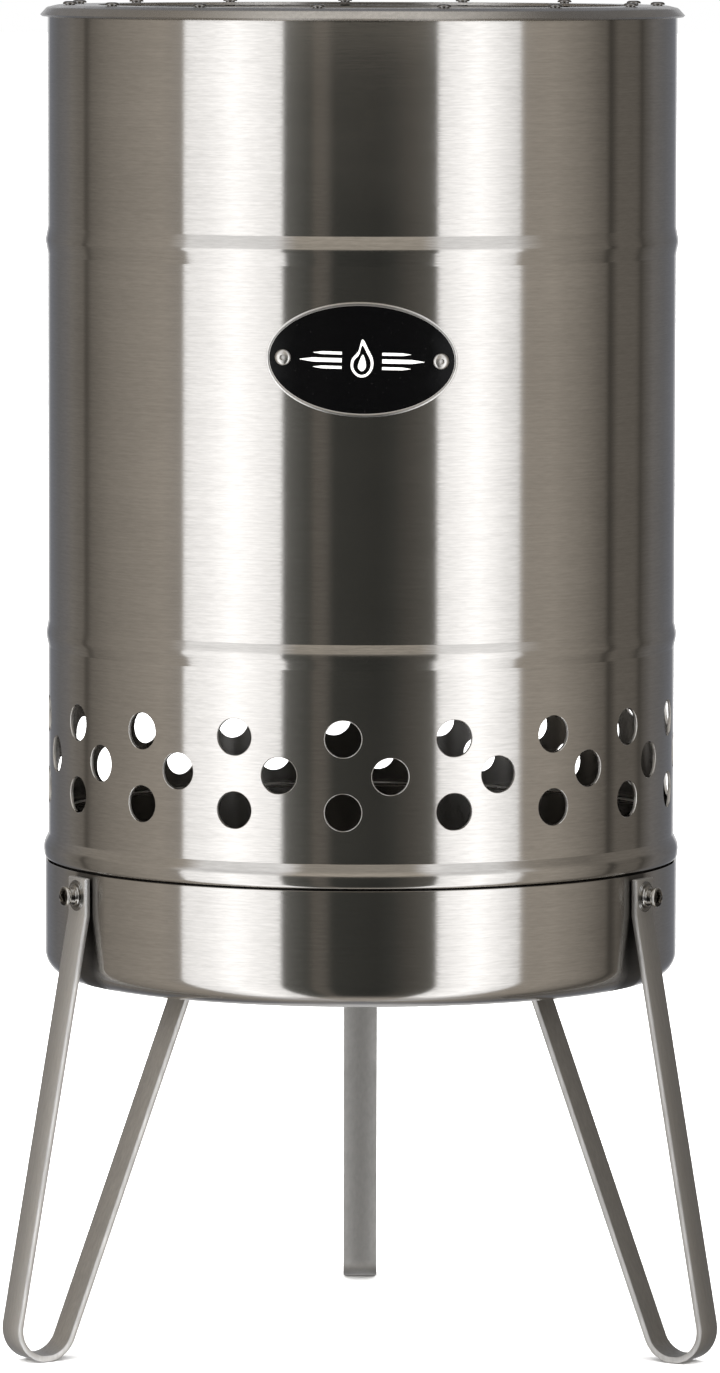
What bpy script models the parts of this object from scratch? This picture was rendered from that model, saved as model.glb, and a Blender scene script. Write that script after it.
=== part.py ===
"""Chimney charcoal starter: a double-walled sheet steel chimney that lifts off a shallow ash pan on three strap legs.

Units are metres and +Z is up. The floor is z = 0, the chimney's axis is the Z axis and the front, with the nameplate, faces -Y.
Pieces that never move against each other share a body: the stand, the chimney and the loose coal grate.
"""

import math

import bmesh
import bpy
from mathutils import Matrix, Vector

MM = 0.001

# ---- driving dimensions, in millimetres -------------------------------------------------------------------------
GAP = 0.3  # left between pieces that touch
SIDES = 48  # facets round every shell; all shells share them, so nested walls stay parallel

JACKET_R = 100.0  # outside of the chimney's outer wall
JACKET_WALL = 0.9
JACKET_FOOT_Z = 151.7  # bottom edge, just inside the pan's rim
JACKET_TOP_Z = 423.2  # top of its in-turned flange
JACKET_FLANGE_R = 90.0  # inner edge of that flange
SKIRT_R = 98.4  # the short skirt under the lowest bead, which enters the pan

# Beads rolled outwards in the jacket: height of the crest, half height, how far it stands out, half width of the flat crest
BEAD_TOP = (351.0, 4.6, 0.8, 2.6)
BEAD_MIDDLE = (225.7, 4.1, 0.85, 2.2)
BEAD_FOOT = (157.9, 3.6, 1.6, 1.0)

HOLE_R = 6.0  # air holes
HOLES_PER_ROW = 18
HOLE_ROWS = ((177.7, -3.2), (188.9, 5.2), (200.5, -3.2))  # height, angle of the first hole from the front in degrees

TUBE_R = 85.4  # outside of the fire tube, which holds the charcoal
TUBE_WALL = 0.8
TUBE_FLANGE_R = 96.8
TUBE_FLANGE_TOP_Z = 424.3
TUBE_FOOT_Z = 208.0
TUBE_LEDGE_R = 74.0  # inner edge of the in-turned ledge that carries the grate

RING_TOP_Z = 425.5
RING_WALL = 0.9
RING_BORE_R = 84.0
RING_FLAT_R = 97.0
RING_EDGE = (100.3, 424.7)  # where the lip turns down
RING_LIP = (102.4, 422.4)  # tip of the lip

RIVET_COUNT = 15
RIVET_CIRCLE_R = 93.7
RIVET_PHASE = -8.5  # degrees from the front
RIVET_HEAD_R = 2.3
RIVET_SHANK_R = 1.5
RIVET_HOLE_R = 1.8

GRATE_R = 82.5
GRATE_THICK = 1.6
GRATE_HOLE_R = 5.0
GRATE_RINGS = ((0.0, 1, 0.0), (21.0, 6, 0.0), (42.0, 12, 0.0), (64.0, 18, 10.0))  # radius, holes, first angle

PAN_R = 101.05
PAN_WALL = 0.7
PAN_RIM_Z = 153.4
PAN_FLOOR_Z = 116.5  # its underside
PAN_CORNER_R = 7.5

COLLAR_LOW_R = 100.05  # the band that lies against the pan's wall
COLLAR_HIGH_R = 97.2  # the band that the jacket slides over
COLLAR_WALL = 0.8
COLLAR_Z = (137.0, 150.3, 151.4, 168.0)  # bottom, start and end of the joggle, top

LEG_ANGLES = {"left": -60.0, "right": 60.0, "back": 180.0}
STRAP_WIDTH = 11.0
STRAP_THICK = 2.0
TAB_TOP_Z = 152.2
OUTER_LEAN = 10.4  # degrees that the outer strand leans from upright
INNER_LEAN = 21.5  # and the inner strand
FOOT_R = 10.5  # outer radius of the foot's bend
FOOT_CENTRE_R = 116.6  # its centre's distance from the chimney's axis
FOOT_FLAT = 8.0  # half of the flat facet it stands on, in degrees of the bend
UNDER_TAB_END_R = 45.0  # end of the tab under the pan
UNDER_RIVET_R = 53.0

BOLT_Z = 146.5
BOLT_R = 2.0
BOLT_HOLE_R = 2.3
WASHER_R = 4.7
WASHER_THICK = 0.9
BOLT_HEAD_R = 3.1
NUT_FLATS = 7.0
NUT_THICK = 3.0

PLATE_WIDTH = 58.8  # the nameplate's chord
PLATE_HEIGHT = 35.4
PLATE_THICK = 0.8
PLATE_Z = 317.8
PLATE_TURN = 1.4  # degrees clockwise, seen from the front
PLATE_RIVET_X = 24.2


# ---- helpers ----------------------------------------------------------------------------------------------------
def clear():
    for thing in list(bpy.data.objects):
        bpy.data.objects.remove(thing, do_unlink=True)


def steel(name, colour, roughness, metallic=1.0):
    material = bpy.data.materials.new(name)
    material.use_nodes = True
    shader = material.node_tree.nodes["Principled BSDF"]
    shader.inputs["Base Color"].default_value = (*colour, 1.0)
    shader.inputs["Roughness"].default_value = roughness
    shader.inputs["Metallic"].default_value = metallic
    material.diffuse_color = (*colour, 1.0)
    return material


def place(name, bm, material, matrix=None):
    """Makes an object of a bmesh given in millimetres. Its normals are turned outwards and its round faces are smooth."""
    bmesh.ops.remove_doubles(bm, verts=bm.verts, dist=1e-4)
    bmesh.ops.recalc_face_normals(bm, faces=bm.faces)
    bmesh.ops.transform(bm, matrix=Matrix.Scale(MM, 4), verts=bm.verts)
    mesh = bpy.data.meshes.new(name)
    bm.to_mesh(mesh)
    bm.free()
    mesh.shade_smooth()
    mesh.set_sharp_from_angle(angle=math.radians(28))
    thing = bpy.data.objects.new(name, mesh)
    bpy.context.collection.objects.link(thing)
    if matrix is not None:
        thing.matrix_world = matrix
    if material:
        mesh.materials.append(material)
    return thing


def spin_profile(bm, profile, sides, closed=True, turn=None, matrix=None):
    """Turns a profile of (radius, height) points about Z. A closed profile makes a ring, an open one starts and ends on the axis."""
    first = math.pi / sides - math.pi / 2 if turn is None else turn
    points = [
        bm.verts.new((r * math.cos(first), r * math.sin(first), z)) for r, z in profile
    ]
    last = len(points) if closed else len(points) - 1
    edges = [
        bm.edges.new((points[i], points[(i + 1) % len(points)])) for i in range(last)
    ]
    before = set(bm.verts) - set(points)
    bmesh.ops.spin(
        bm,
        geom=points + edges,
        cent=(0, 0, 0),
        axis=(0, 0, 1),
        dvec=(0, 0, 0),
        angle=2 * math.pi,
        steps=sides,
        use_merge=True,
        use_duplicate=False,
    )
    made = [v for v in bm.verts if v not in before]
    bmesh.ops.remove_doubles(bm, verts=made, dist=1e-4)
    if matrix is not None:
        made = [v for v in bm.verts if v not in before]
        bmesh.ops.transform(bm, matrix=matrix, verts=made)


def turned(name, profile, material, sides=SIDES, closed=True, turn=None, matrix=None):
    bm = bmesh.new()
    spin_profile(bm, profile, sides, closed, turn)
    return place(name, bm, material, matrix)


def radial(angle, radius=0.0, height=0.0):
    """The frame whose Z axis points straight out from the chimney at an angle from the front, in degrees and millimetres."""
    a = math.radians(angle)
    out = Vector((math.sin(a), -math.cos(a), 0.0))
    across = Vector((math.cos(a), math.sin(a), 0.0))
    up = Vector((0.0, 0.0, 1.0))
    turn = Matrix((across, up, out)).transposed().to_4x4()
    return Matrix.Translation(out * radius + up * height) @ turn


def metres(matrix):
    """The same frame with its place in metres, for an object whose mesh is already in metres."""
    moved = matrix.copy()
    moved.translation = matrix.translation * MM
    return moved


def rods(name, rows):
    """A cutter made of round rods: (frame, radius, low, high, sides) each."""
    bm = bmesh.new()
    for frame, radius, low, high, sides in rows:
        profile = [(0.0, low), (radius, low), (radius, high), (0.0, high)]
        spin_profile(bm, profile, sides, closed=False, turn=0.0, matrix=frame)
    cutter = place(name, bm, None)
    cutter.hide_render = True
    cutter.display_type = "WIRE"
    return cutter


def cut(thing, cutter):
    modifier = thing.modifiers.new(cutter.name, "BOOLEAN")
    modifier.operation = "DIFFERENCE"
    modifier.solver = "EXACT"
    modifier.object = cutter


def upright(x, y):
    return Matrix.Translation((x, y, 0.0))


def around(radius, angle):
    a = math.radians(angle)
    return radius * math.sin(a), -radius * math.cos(a)


# ---- the chimney ------------------------------------------------------------------------------------------------
def bead(spec, radius, base=None):
    """Outline of one rolled bead, from its upper edge down, at a wall of this radius."""
    crest, half, proud, flat = spec
    base = radius if base is None else base
    return [
        (radius, crest + half),
        (radius + proud, crest + flat),
        (radius + proud, crest - flat),
        (base, crest - half),
    ]


def jacket_profile():
    inner = JACKET_R - JACKET_WALL
    low = SKIRT_R - JACKET_WALL
    outside = [(JACKET_FLANGE_R, JACKET_TOP_Z), (JACKET_R, JACKET_TOP_Z)]
    outside += bead(BEAD_TOP, JACKET_R)
    outside += bead(BEAD_MIDDLE, JACKET_R)
    outside += bead(BEAD_FOOT, JACKET_R, SKIRT_R)
    outside += [(SKIRT_R, JACKET_FOOT_Z)]
    inside = [(inner, JACKET_TOP_Z - JACKET_WALL)]
    inside += bead(BEAD_TOP, inner)
    inside += bead(BEAD_MIDDLE, inner)
    inside += bead(BEAD_FOOT, inner, low)
    inside += [(low, JACKET_FOOT_Z)]
    return outside + inside[::-1] + [(JACKET_FLANGE_R, JACKET_TOP_Z - JACKET_WALL)]


def air_hole_rods():
    rows = []
    for height, phase in HOLE_ROWS:
        for k in range(HOLES_PER_ROW):
            angle = phase + k * 360.0 / HOLES_PER_ROW
            rows.append((radial(angle, 0.0, height), HOLE_R, 92.0, 108.0, 12))
    return rows


def rivet_rods():
    rows = []
    for k in range(RIVET_COUNT):
        x, y = around(RIVET_CIRCLE_R, RIVET_PHASE + k * 360.0 / RIVET_COUNT)
        rows.append((upright(x, y), RIVET_HOLE_R, 418.0, 430.0, 8))
    return rows


def plate_frames():
    """Where the two nameplate rivets go: their frames point straight out of the jacket."""
    frames = []
    for side in (-1.0, 1.0):
        angle = math.degrees(math.asin(side * PLATE_RIVET_X / (JACKET_R + PLATE_THICK)))
        drop = -side * PLATE_RIVET_X * math.sin(math.radians(PLATE_TURN))
        frames.append(radial(angle, 0.0, PLATE_Z + drop))
    return frames


def build_chimney(metal, polished, black):
    jacket = turned("jacket", jacket_profile(), metal)
    ring_holes = rods("cutter_ring_rivets", rivet_rods())
    plate_holes = rods(
        "cutter_plate_rivets", [(f, 1.8, 92.0, 108.0, 8) for f in plate_frames()]
    )
    air_holes = rods("cutter_air_holes", air_hole_rods())
    cut(jacket, air_holes)
    cut(jacket, ring_holes)
    cut(jacket, plate_holes)

    bore = TUBE_R - TUBE_WALL
    flange_low = TUBE_FLANGE_TOP_Z - TUBE_WALL
    tube = turned(
        "fire_tube",
        [
            (bore, TUBE_FLANGE_TOP_Z),
            (TUBE_FLANGE_R, TUBE_FLANGE_TOP_Z),
            (TUBE_FLANGE_R, flange_low),
            (TUBE_R, flange_low),
            (TUBE_R, TUBE_FOOT_Z),
            (TUBE_LEDGE_R, TUBE_FOOT_Z),
            (TUBE_LEDGE_R, TUBE_FOOT_Z + TUBE_WALL),
            (bore, TUBE_FOOT_Z + TUBE_WALL),
        ],
        metal,
    )
    cut(tube, ring_holes)

    edge_r, edge_z = RING_EDGE
    tip_r, tip_z = RING_LIP
    ring = turned(
        "top_ring",
        [
            (RING_BORE_R, RING_TOP_Z),
            (RING_FLAT_R, RING_TOP_Z),
            (edge_r, edge_z),
            (tip_r, tip_z),
            (tip_r - 0.65, tip_z - 0.5),
            (edge_r - 0.45, edge_z - 0.8),
            (RING_FLAT_R - 0.1, RING_TOP_Z - RING_WALL),
            (RING_BORE_R, RING_TOP_Z - RING_WALL),
        ],
        metal,
    )
    cut(ring, ring_holes)

    # One mesh for the fifteen blind rivets that clamp the ring, the tube's flange and the jacket's flange.
    top = RING_TOP_Z + GAP
    below = JACKET_TOP_Z - JACKET_WALL - GAP
    rivet = [
        (0.0, top + 1.4),
        (1.4, top + 1.2),
        (RIVET_HEAD_R, top + 0.5),
        (RIVET_HEAD_R, top),
        (RIVET_SHANK_R, top),
        (RIVET_SHANK_R, below),
        (2.1, below),
        (2.1, below - 1.6),
        (0.0, below - 1.8),
    ]
    bm = bmesh.new()
    spin_profile(bm, rivet, 8, closed=False, turn=0.0)
    first = place("ring_rivet_01", bm, polished)
    for k in range(RIVET_COUNT):
        x, y = around(RIVET_CIRCLE_R, RIVET_PHASE + k * 360.0 / RIVET_COUNT)
        each = first
        if k:
            each = bpy.data.objects.new(f"ring_rivet_{k + 1:02d}", first.data)
            bpy.context.collection.objects.link(each)
        each.location = (x * MM, y * MM, 0.0)

    build_nameplate(black)
    for side, frame in zip(("left", "right"), plate_frames()):
        out = JACKET_R + GAP + PLATE_THICK + GAP
        head = [
            (0.0, out + 0.6),
            (0.75, out + 0.6),
            (0.85, out + 1.1),
            (1.8, out + 0.9),
            (2.55, out + 0.3),
            (2.55, out - 0.05),
            (1.4, out - 0.05),
            (1.4, 98.5),
            (2.2, 98.5),
            (2.2, 97.0),
            (0.0, 96.8),
        ]
        bm = bmesh.new()
        spin_profile(bm, head, 12, closed=False, turn=0.0)
        place(f"nameplate_rivet_{side}", bm, polished, metres(frame))

    build_grate(metal)


def build_nameplate(material):
    """An oval plate rolled to the jacket: rows of an ellipse wrapped round the cylinder, given a thickness."""
    near = JACKET_R + GAP
    reach = near * math.asin(PLATE_WIDTH / 2 / near)  # half width along the arc
    tilt = math.radians(PLATE_TURN)
    rings, spokes = 4, 36
    bm = bmesh.new()
    layers = []
    for radius in (near, near + PLATE_THICK):
        centre = None
        rows = []
        for i in range(rings + 1):
            row = []
            for j in range(spokes):
                t = 2 * math.pi * j / spokes
                u = reach * i / rings * math.cos(t)
                v = PLATE_HEIGHT / 2 * i / rings * math.sin(t)
                u, v = u * math.cos(tilt) + v * math.sin(tilt), v * math.cos(
                    tilt
                ) - u * math.sin(tilt)
                a = u / near
                point = (radius * math.sin(a), -radius * math.cos(a), PLATE_Z + v)
                if i == 0:
                    centre = centre or bm.verts.new(point)
                    row.append(centre)
                else:
                    row.append(bm.verts.new(point))
            rows.append(row)
        for i in range(rings):
            for j in range(spokes):
                k = (j + 1) % spokes
                if i == 0:
                    bm.faces.new((rows[0][j], rows[1][j], rows[1][k]))
                else:
                    bm.faces.new((rows[i][j], rows[i + 1][j], rows[i + 1][k], rows[i][k]))
        layers.append(rows[rings])
    for j in range(spokes):
        k = (j + 1) % spokes
        bm.faces.new((layers[0][j], layers[1][j], layers[1][k], layers[0][k]))
    plate = place("nameplate", bm, material)
    cut(plate, rods("cutter_plate_holes", [(f, 1.8, 92.0, 108.0, 8) for f in plate_frames()]))
    return plate


def build_grate(material):
    low = TUBE_FOOT_Z + TUBE_WALL + GAP
    high = low + GRATE_THICK
    grate = turned(
        "coal_grate",
        [(0.0, high), (GRATE_R, high), (GRATE_R, low), (0.0, low)],
        material,
        closed=False,
    )
    rows = []
    for radius, count, phase in GRATE_RINGS:
        for k in range(count):
            x, y = around(radius, phase + k * 360.0 / count)
            rows.append((upright(x, y), GRATE_HOLE_R, low - 5.0, high + 5.0, 8))
    cut(grate, rods("cutter_grate_holes", rows))


# ---- the stand --------------------------------------------------------------------------------------------------
def pan_profile():
    outer, inner = [], []
    steps = 4
    for i in range(steps + 1):
        a = math.pi / 2 * i / steps
        centre_r, centre_z = PAN_R - PAN_CORNER_R, PAN_FLOOR_Z + PAN_CORNER_R
        outer.append(
            (centre_r + PAN_CORNER_R * math.cos(a), centre_z - PAN_CORNER_R * math.sin(a))
        )
        small = PAN_CORNER_R - PAN_WALL
        inner.append((centre_r + small * math.cos(a), centre_z - small * math.sin(a)))
    outside = [(PAN_R, PAN_RIM_Z)] + outer + [(0.0, PAN_FLOOR_Z)]
    inside = [(PAN_R - PAN_WALL, PAN_RIM_Z)] + inner + [(0.0, PAN_FLOOR_Z + PAN_WALL)]
    return inside[::-1] + outside


def strap_path():
    """Middle line of one leg strap in the plane through the axis, as (radius, height), from the bolted tab down round the foot and up to the tab under the pan."""
    half = STRAP_THICK / 2
    tab_r = PAN_R + GAP + half
    lean, slope = math.radians(OUTER_LEAN), math.radians(INNER_LEAN)
    bend = FOOT_R - half
    centre_z = bend * math.cos(math.radians(FOOT_FLAT)) + half
    first, last = OUTER_LEAN, -180.0 + INNER_LEAN
    flat_from, flat_to = -90.0 + FOOT_FLAT, -90.0 - FOOT_FLAT
    turn = [first + (flat_from - first) * i / 6 for i in range(7)]
    turn += [flat_to + (last - flat_to) * i / 4 for i in range(5)]
    foot = [
        (
            FOOT_CENTRE_R + bend * math.cos(math.radians(a)),
            centre_z + bend * math.sin(math.radians(a)),
        )
        for a in turn
    ]
    top_r, top_z = foot[0]
    # the outer strand runs straight up from the foot until it reaches the tab's own plane
    bend_z = top_z + (top_r - tab_r) / math.tan(lean)
    path = [(tab_r, TAB_TOP_Z), (tab_r, bend_z)] + foot
    # the inner strand runs straight up until it reaches the plane of the tab under the pan
    under_z = PAN_FLOOR_Z - GAP - half
    end_r, end_z = foot[-1]
    run_r = end_r - (under_z - end_z) * math.tan(slope)
    path += [(run_r, under_z), (UNDER_TAB_END_R, under_z)]
    return path


def soften(path, where, radius, steps):
    """Replaces one corner of a path by a short arc made of straight pieces."""
    a, b, c = (Vector(path[i]) for i in (where - 1, where, where + 1))
    into, out = (a - b).normalized(), (c - b).normalized()
    angle = into.angle(out)
    back = radius / math.tan(angle / 2)
    start, end = b + into * back, b + out * back
    centre = b + (into + out).normalized() * (radius / math.sin(angle / 2))
    arc = []
    for i in range(steps + 1):
        f = i / steps
        arm = (start - centre).normalized().slerp((end - centre).normalized(), f)
        arc.append(tuple(centre + arm.normalized() * radius))
    return path[:where] + arc + path[where + 1 :]


def build_leg(side, angle, metal, polished, collar_holes):
    half, wide = STRAP_THICK / 2, STRAP_WIDTH / 2
    path = strap_path()
    path = soften(path, len(path) - 2, 4.0, 4)
    path = soften(path, 1, 9.0, 2)
    bm = bmesh.new()
    sections = []
    for i, point in enumerate(path):
        here = Vector(point)
        before = Vector(path[i - 1]) if i else None
        after = Vector(path[i + 1]) if i + 1 < len(path) else None
        ways = []
        if before is not None:
            ways.append((here - before).normalized())
        if after is not None:
            ways.append((after - here).normalized())
        way = sum(ways, Vector((0.0, 0.0))).normalized()
        normal = Vector((-way.y, way.x))
        reach = half / max(0.2, normal.dot(Vector((-ways[0].y, ways[0].x))))
        section = []
        for side_out in (1.0, -1.0):
            r, z = here + normal * reach * side_out
            for across in (-wide, wide):
                a = math.radians(angle)
                section.append(
                    bm.verts.new(
                        (
                            r * math.sin(a) + across * math.cos(a),
                            -r * math.cos(a) + across * math.sin(a),
                            z,
                        )
                    )
                )
        sections.append([section[0], section[1], section[3], section[2]])
    for low, high in zip(sections, sections[1:]):
        for i in range(4):
            k = (i + 1) % 4
            bm.faces.new((low[i], low[k], high[k], high[i]))
    bm.faces.new(sections[0])
    bm.faces.new(sections[-1])
    leg = place(f"leg_{side}", bm, metal)
    cut(leg, collar_holes)

    # washer, bolt and nut lie on one line that points straight out from the chimney
    frame = metres(radial(angle, 0.0, BOLT_Z))
    face = PAN_R + GAP + STRAP_THICK
    washer_low = face + GAP
    washer_high = washer_low + WASHER_THICK
    turned(
        f"leg_washer_{side}",
        [
            (BOLT_HOLE_R, washer_high),
            (WASHER_R, washer_high),
            (WASHER_R, washer_low),
            (BOLT_HOLE_R, washer_low),
        ],
        polished,
        sides=16,
        turn=0.0,
        matrix=frame,
    )
    seat = washer_high + GAP
    nut_out = COLLAR_LOW_R - COLLAR_WALL - 2 * GAP
    nut_in = nut_out - NUT_THICK
    turned(
        f"leg_bolt_{side}",
        [
            (0.0, seat + 3.4),
            (1.5, seat + 3.4),
            (1.5, seat + 4.9),
            (2.5, seat + 4.9),
            (BOLT_HEAD_R, seat + 4.5),
            (BOLT_HEAD_R, seat + 3.6),
            (2.3, seat + 2.9),
            (2.2, seat + 1.0),
            (3.3, seat + 0.9),
            (3.3, seat),
            (BOLT_R, seat),
            (BOLT_R, nut_in - 0.8),
            (0.0, nut_in - 0.8),
        ],
        polished,
        sides=12,
        closed=False,
        turn=0.0,
        matrix=frame,
    )
    corner = NUT_FLATS / 2 / math.cos(math.pi / 6)
    turned(
        f"leg_nut_{side}",
        [
            (BOLT_HOLE_R, nut_out),
            (corner, nut_out),
            (corner, nut_in),
            (BOLT_HOLE_R, nut_in),
        ],
        polished,
        sides=6,
        turn=0.0,
        matrix=frame,
    )

    # the rivet that holds the inner strand's tab to the pan's floor
    x, y = around(UNDER_RIVET_R, angle)
    under = PAN_FLOOR_Z - GAP - STRAP_THICK - GAP
    above = PAN_FLOOR_Z + PAN_WALL + GAP
    turned(
        f"leg_rivet_{side}",
        [
            (0.0, above + 1.2),
            (2.4, above + 1.0),
            (3.6, above),
            (2.0, above),
            (2.0, under),
            (4.0, under),
            (3.4, under - 1.3),
            (1.8, under - 1.9),
            (0.0, under - 2.0),
        ],
        polished,
        sides=12,
        closed=False,
        turn=0.0,
        matrix=Matrix.Translation((x * MM, y * MM, 0.0)),
    )


def build_stand(metal, strap, polished):
    pan = turned("base_pan", pan_profile(), metal, closed=False)
    low = COLLAR_LOW_R - COLLAR_WALL
    high = COLLAR_HIGH_R - COLLAR_WALL
    z0, z1, z2, z3 = COLLAR_Z
    collar = turned(
        "centering_collar",
        [
            (COLLAR_HIGH_R, z3),
            (COLLAR_HIGH_R, z2),
            (COLLAR_LOW_R, z1),
            (COLLAR_LOW_R, z0),
            (low, z0),
            (low, z1 - 0.2),
            (high, z2 - 0.2),
            (high, z3),
        ],
        metal,
    )
    bolts = rods(
        "cutter_leg_bolts",
        [(radial(a, 0.0, BOLT_Z), BOLT_HOLE_R, 90.0, 112.0, 12) for a in LEG_ANGLES.values()],
    )
    under = []
    for a in LEG_ANGLES.values():
        x, y = around(UNDER_RIVET_R, a)
        under.append((upright(x, y), BOLT_HOLE_R, 108.0, 124.0, 12))
    rivets = rods("cutter_leg_rivets", under)
    both = rods(
        "cutter_leg_both",
        [(radial(a, 0.0, BOLT_Z), BOLT_HOLE_R, 90.0, 112.0, 12) for a in LEG_ANGLES.values()]
        + under,
    )
    cut(pan, bolts)
    cut(pan, rivets)
    cut(collar, bolts)
    for side, angle in LEG_ANGLES.items():
        build_leg(side, angle, strap, polished, both)


clear()
brushed = steel("brushed_stainless", (0.60, 0.585, 0.565), 0.28)
strap = steel("satin_strap_steel", (0.46, 0.45, 0.43), 0.42)
polished = steel("polished_fastener", (0.42, 0.41, 0.40), 0.18)
black = steel("black_enamel", (0.012, 0.012, 0.013), 0.15, 0.0)
build_chimney(brushed, polished, black)
build_stand(brushed, strap, polished)
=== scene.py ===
"""Looks of the chimney charcoal starter: fine meshes, procedural steel and enamel, a pale floor and soft studio light.

Shapes are given in millimetres round the chimney's axis, as (radius, height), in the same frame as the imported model.
"""

import math

import bmesh
import bpy
from mathutils import Matrix, Vector


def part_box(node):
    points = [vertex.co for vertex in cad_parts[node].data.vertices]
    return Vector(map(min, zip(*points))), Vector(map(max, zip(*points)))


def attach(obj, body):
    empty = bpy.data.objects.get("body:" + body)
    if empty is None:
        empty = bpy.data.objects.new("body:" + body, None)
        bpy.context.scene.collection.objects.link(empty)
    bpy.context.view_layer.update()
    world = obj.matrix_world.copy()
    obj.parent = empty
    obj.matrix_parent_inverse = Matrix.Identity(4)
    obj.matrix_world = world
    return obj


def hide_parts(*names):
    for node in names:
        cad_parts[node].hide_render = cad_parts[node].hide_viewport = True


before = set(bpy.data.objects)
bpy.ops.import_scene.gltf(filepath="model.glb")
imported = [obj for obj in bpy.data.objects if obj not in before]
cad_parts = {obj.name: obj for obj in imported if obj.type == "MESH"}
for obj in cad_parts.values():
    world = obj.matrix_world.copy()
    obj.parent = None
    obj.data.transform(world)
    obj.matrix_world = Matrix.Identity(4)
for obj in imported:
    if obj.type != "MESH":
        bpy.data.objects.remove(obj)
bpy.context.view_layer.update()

MM = 0.001
SIDES = 192  # facets round the large shells


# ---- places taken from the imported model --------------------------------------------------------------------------
def span(node):
    low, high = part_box(node)
    return [v / MM for v in low], [v / MM for v in high]


RING_TOP = span("top_ring")[1][2]
TUBE_FOOT = span("fire_tube")[0][2]
JACKET_FOOT, JACKET_TOP = span("jacket")[0][2], span("jacket")[1][2]
PAN_FLOOR, PAN_RIM = span("base_pan")[0][2], span("base_pan")[1][2]
GRATE_LOW, GRATE_HIGH = span("coal_grate")[0][2], span("coal_grate")[1][2]
COLLAR_LOW, COLLAR_HIGH = span("centering_collar")[0][2], span("centering_collar")[1][2]

LEG_ANGLES = {"left": -60.0, "right": 60.0, "back": 180.0}
HOLE_ROWS = ((177.7, -3.2), (188.9, 5.2), (200.5, -3.2))
HOLES_PER_ROW = 18
HOLE_R = 5.7
RIVETS = 15
RIVET_CIRCLE = 93.7
RIVET_PHASE = -8.5
PLATE_Z = 317.8
PLATE_WIDE, PLATE_HIGH = 58.8, 35.4
PLATE_TURN = 1.4
PLATE_RIVET_X = 24.2
BOLT_Z = 146.5


# ---- mesh helpers ------------------------------------------------------------------------------------------------
def fillet(points, steps=5):
    """Rounds the corners of a path of (r, z) or (r, z, radius)."""
    out = []
    for i, p in enumerate(points):
        radius = p[2] if len(p) > 2 else 0.0
        if radius <= 0 or i in (0, len(points) - 1):
            out.append((p[0], p[1]))
            continue
        a, b, c = (Vector(points[j][:2]) for j in (i - 1, i, i + 1))
        into, way = (a - b).normalized(), (c - b).normalized()
        angle = into.angle(way)
        if angle > math.pi - 0.01:
            out.append((p[0], p[1]))
            continue
        back = min(radius / math.tan(angle / 2), (a - b).length * 0.49, (c - b).length * 0.49)
        radius = back * math.tan(angle / 2)
        centre = b + (into + way).normalized() * (radius / math.sin(angle / 2))
        first, last = (b + into * back - centre), (b + way * back - centre)
        turn = math.atan2(first.x * last.y - first.y * last.x, first.dot(last))
        for k in range(steps + 1):
            t = turn * k / steps
            arm = Vector(
                (
                    first.x * math.cos(t) - first.y * math.sin(t),
                    first.x * math.sin(t) + first.y * math.cos(t),
                )
            )
            out.append(tuple(centre + arm))
    return out


def fatten(path, thick, ends=0.0):
    """A closed outline from an outer path, with the sheet's thickness to the right of its direction. The ends argument
    is not used.
    """
    inner = []
    for i, p in enumerate(path):
        here = Vector(p)
        ways = []
        if i:
            ways.append((here - Vector(path[i - 1])).normalized())
        if i + 1 < len(path):
            ways.append((Vector(path[i + 1]) - here).normalized())
        mean = sum(ways, Vector((0.0, 0.0))).normalized()
        side = Vector((mean.y, -mean.x))
        flat = Vector((ways[0].y, -ways[0].x))
        inner.append(tuple(here + side * (thick / max(0.35, side.dot(flat)))))
    outline = list(path) + inner[::-1]
    return outline


def finish_mesh(name, bm, material=None, matrix=None, sharp=32.0, scale=MM):
    bmesh.ops.remove_doubles(bm, verts=bm.verts, dist=1e-4)
    bmesh.ops.recalc_face_normals(bm, faces=bm.faces)
    if scale != 1.0:
        bmesh.ops.transform(bm, matrix=Matrix.Scale(scale, 4), verts=bm.verts)
    mesh = bpy.data.meshes.new(name)
    bm.to_mesh(mesh)
    bm.free()
    mesh.shade_smooth()
    mesh.set_sharp_from_angle(angle=math.radians(sharp))
    thing = bpy.data.objects.new(name, mesh)
    bpy.context.scene.collection.objects.link(thing)
    if matrix is not None:
        thing.matrix_world = matrix
    if material:
        for m in material if isinstance(material, (list, tuple)) else [material]:
            mesh.materials.append(m)
    return thing


def spin(bm, outline, sides=SIDES, closed=True, matrix=None, turn=0.0):
    """Turns an outline of (r, z) about Z. An open outline starts and ends on the axis."""
    rows = []
    for r, z in outline:
        if r < 1e-6:
            v = bm.verts.new((0.0, 0.0, z))
            rows.append([v] * sides)
        else:
            rows.append(
                [
                    bm.verts.new(
                        (
                            r * math.cos(turn + 2 * math.pi * k / sides),
                            r * math.sin(turn + 2 * math.pi * k / sides),
                            z,
                        )
                    )
                    for k in range(sides)
                ]
            )
    count = len(rows) if closed else len(rows) - 1
    faces = []
    for i in range(count):
        a, b = rows[i], rows[(i + 1) % len(rows)]
        for k in range(sides):
            m = (k + 1) % sides
            loop = []
            for v in (a[k], a[m], b[m], b[k]):
                if v not in loop:
                    loop.append(v)
            if len(loop) > 2:
                faces.append(bm.faces.new(loop))
    if matrix is not None:
        bmesh.ops.transform(bm, matrix=matrix, verts=list({v for row in rows for v in row}))
    return rows, faces


def lathe(name, outline, material, sides=SIDES, closed=True, matrix=None, turn=0.0, sharp=32.0):
    bm = bmesh.new()
    spin(bm, outline, sides, closed, None, turn)
    return finish_mesh(name, bm, material, matrix, sharp)


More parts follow.
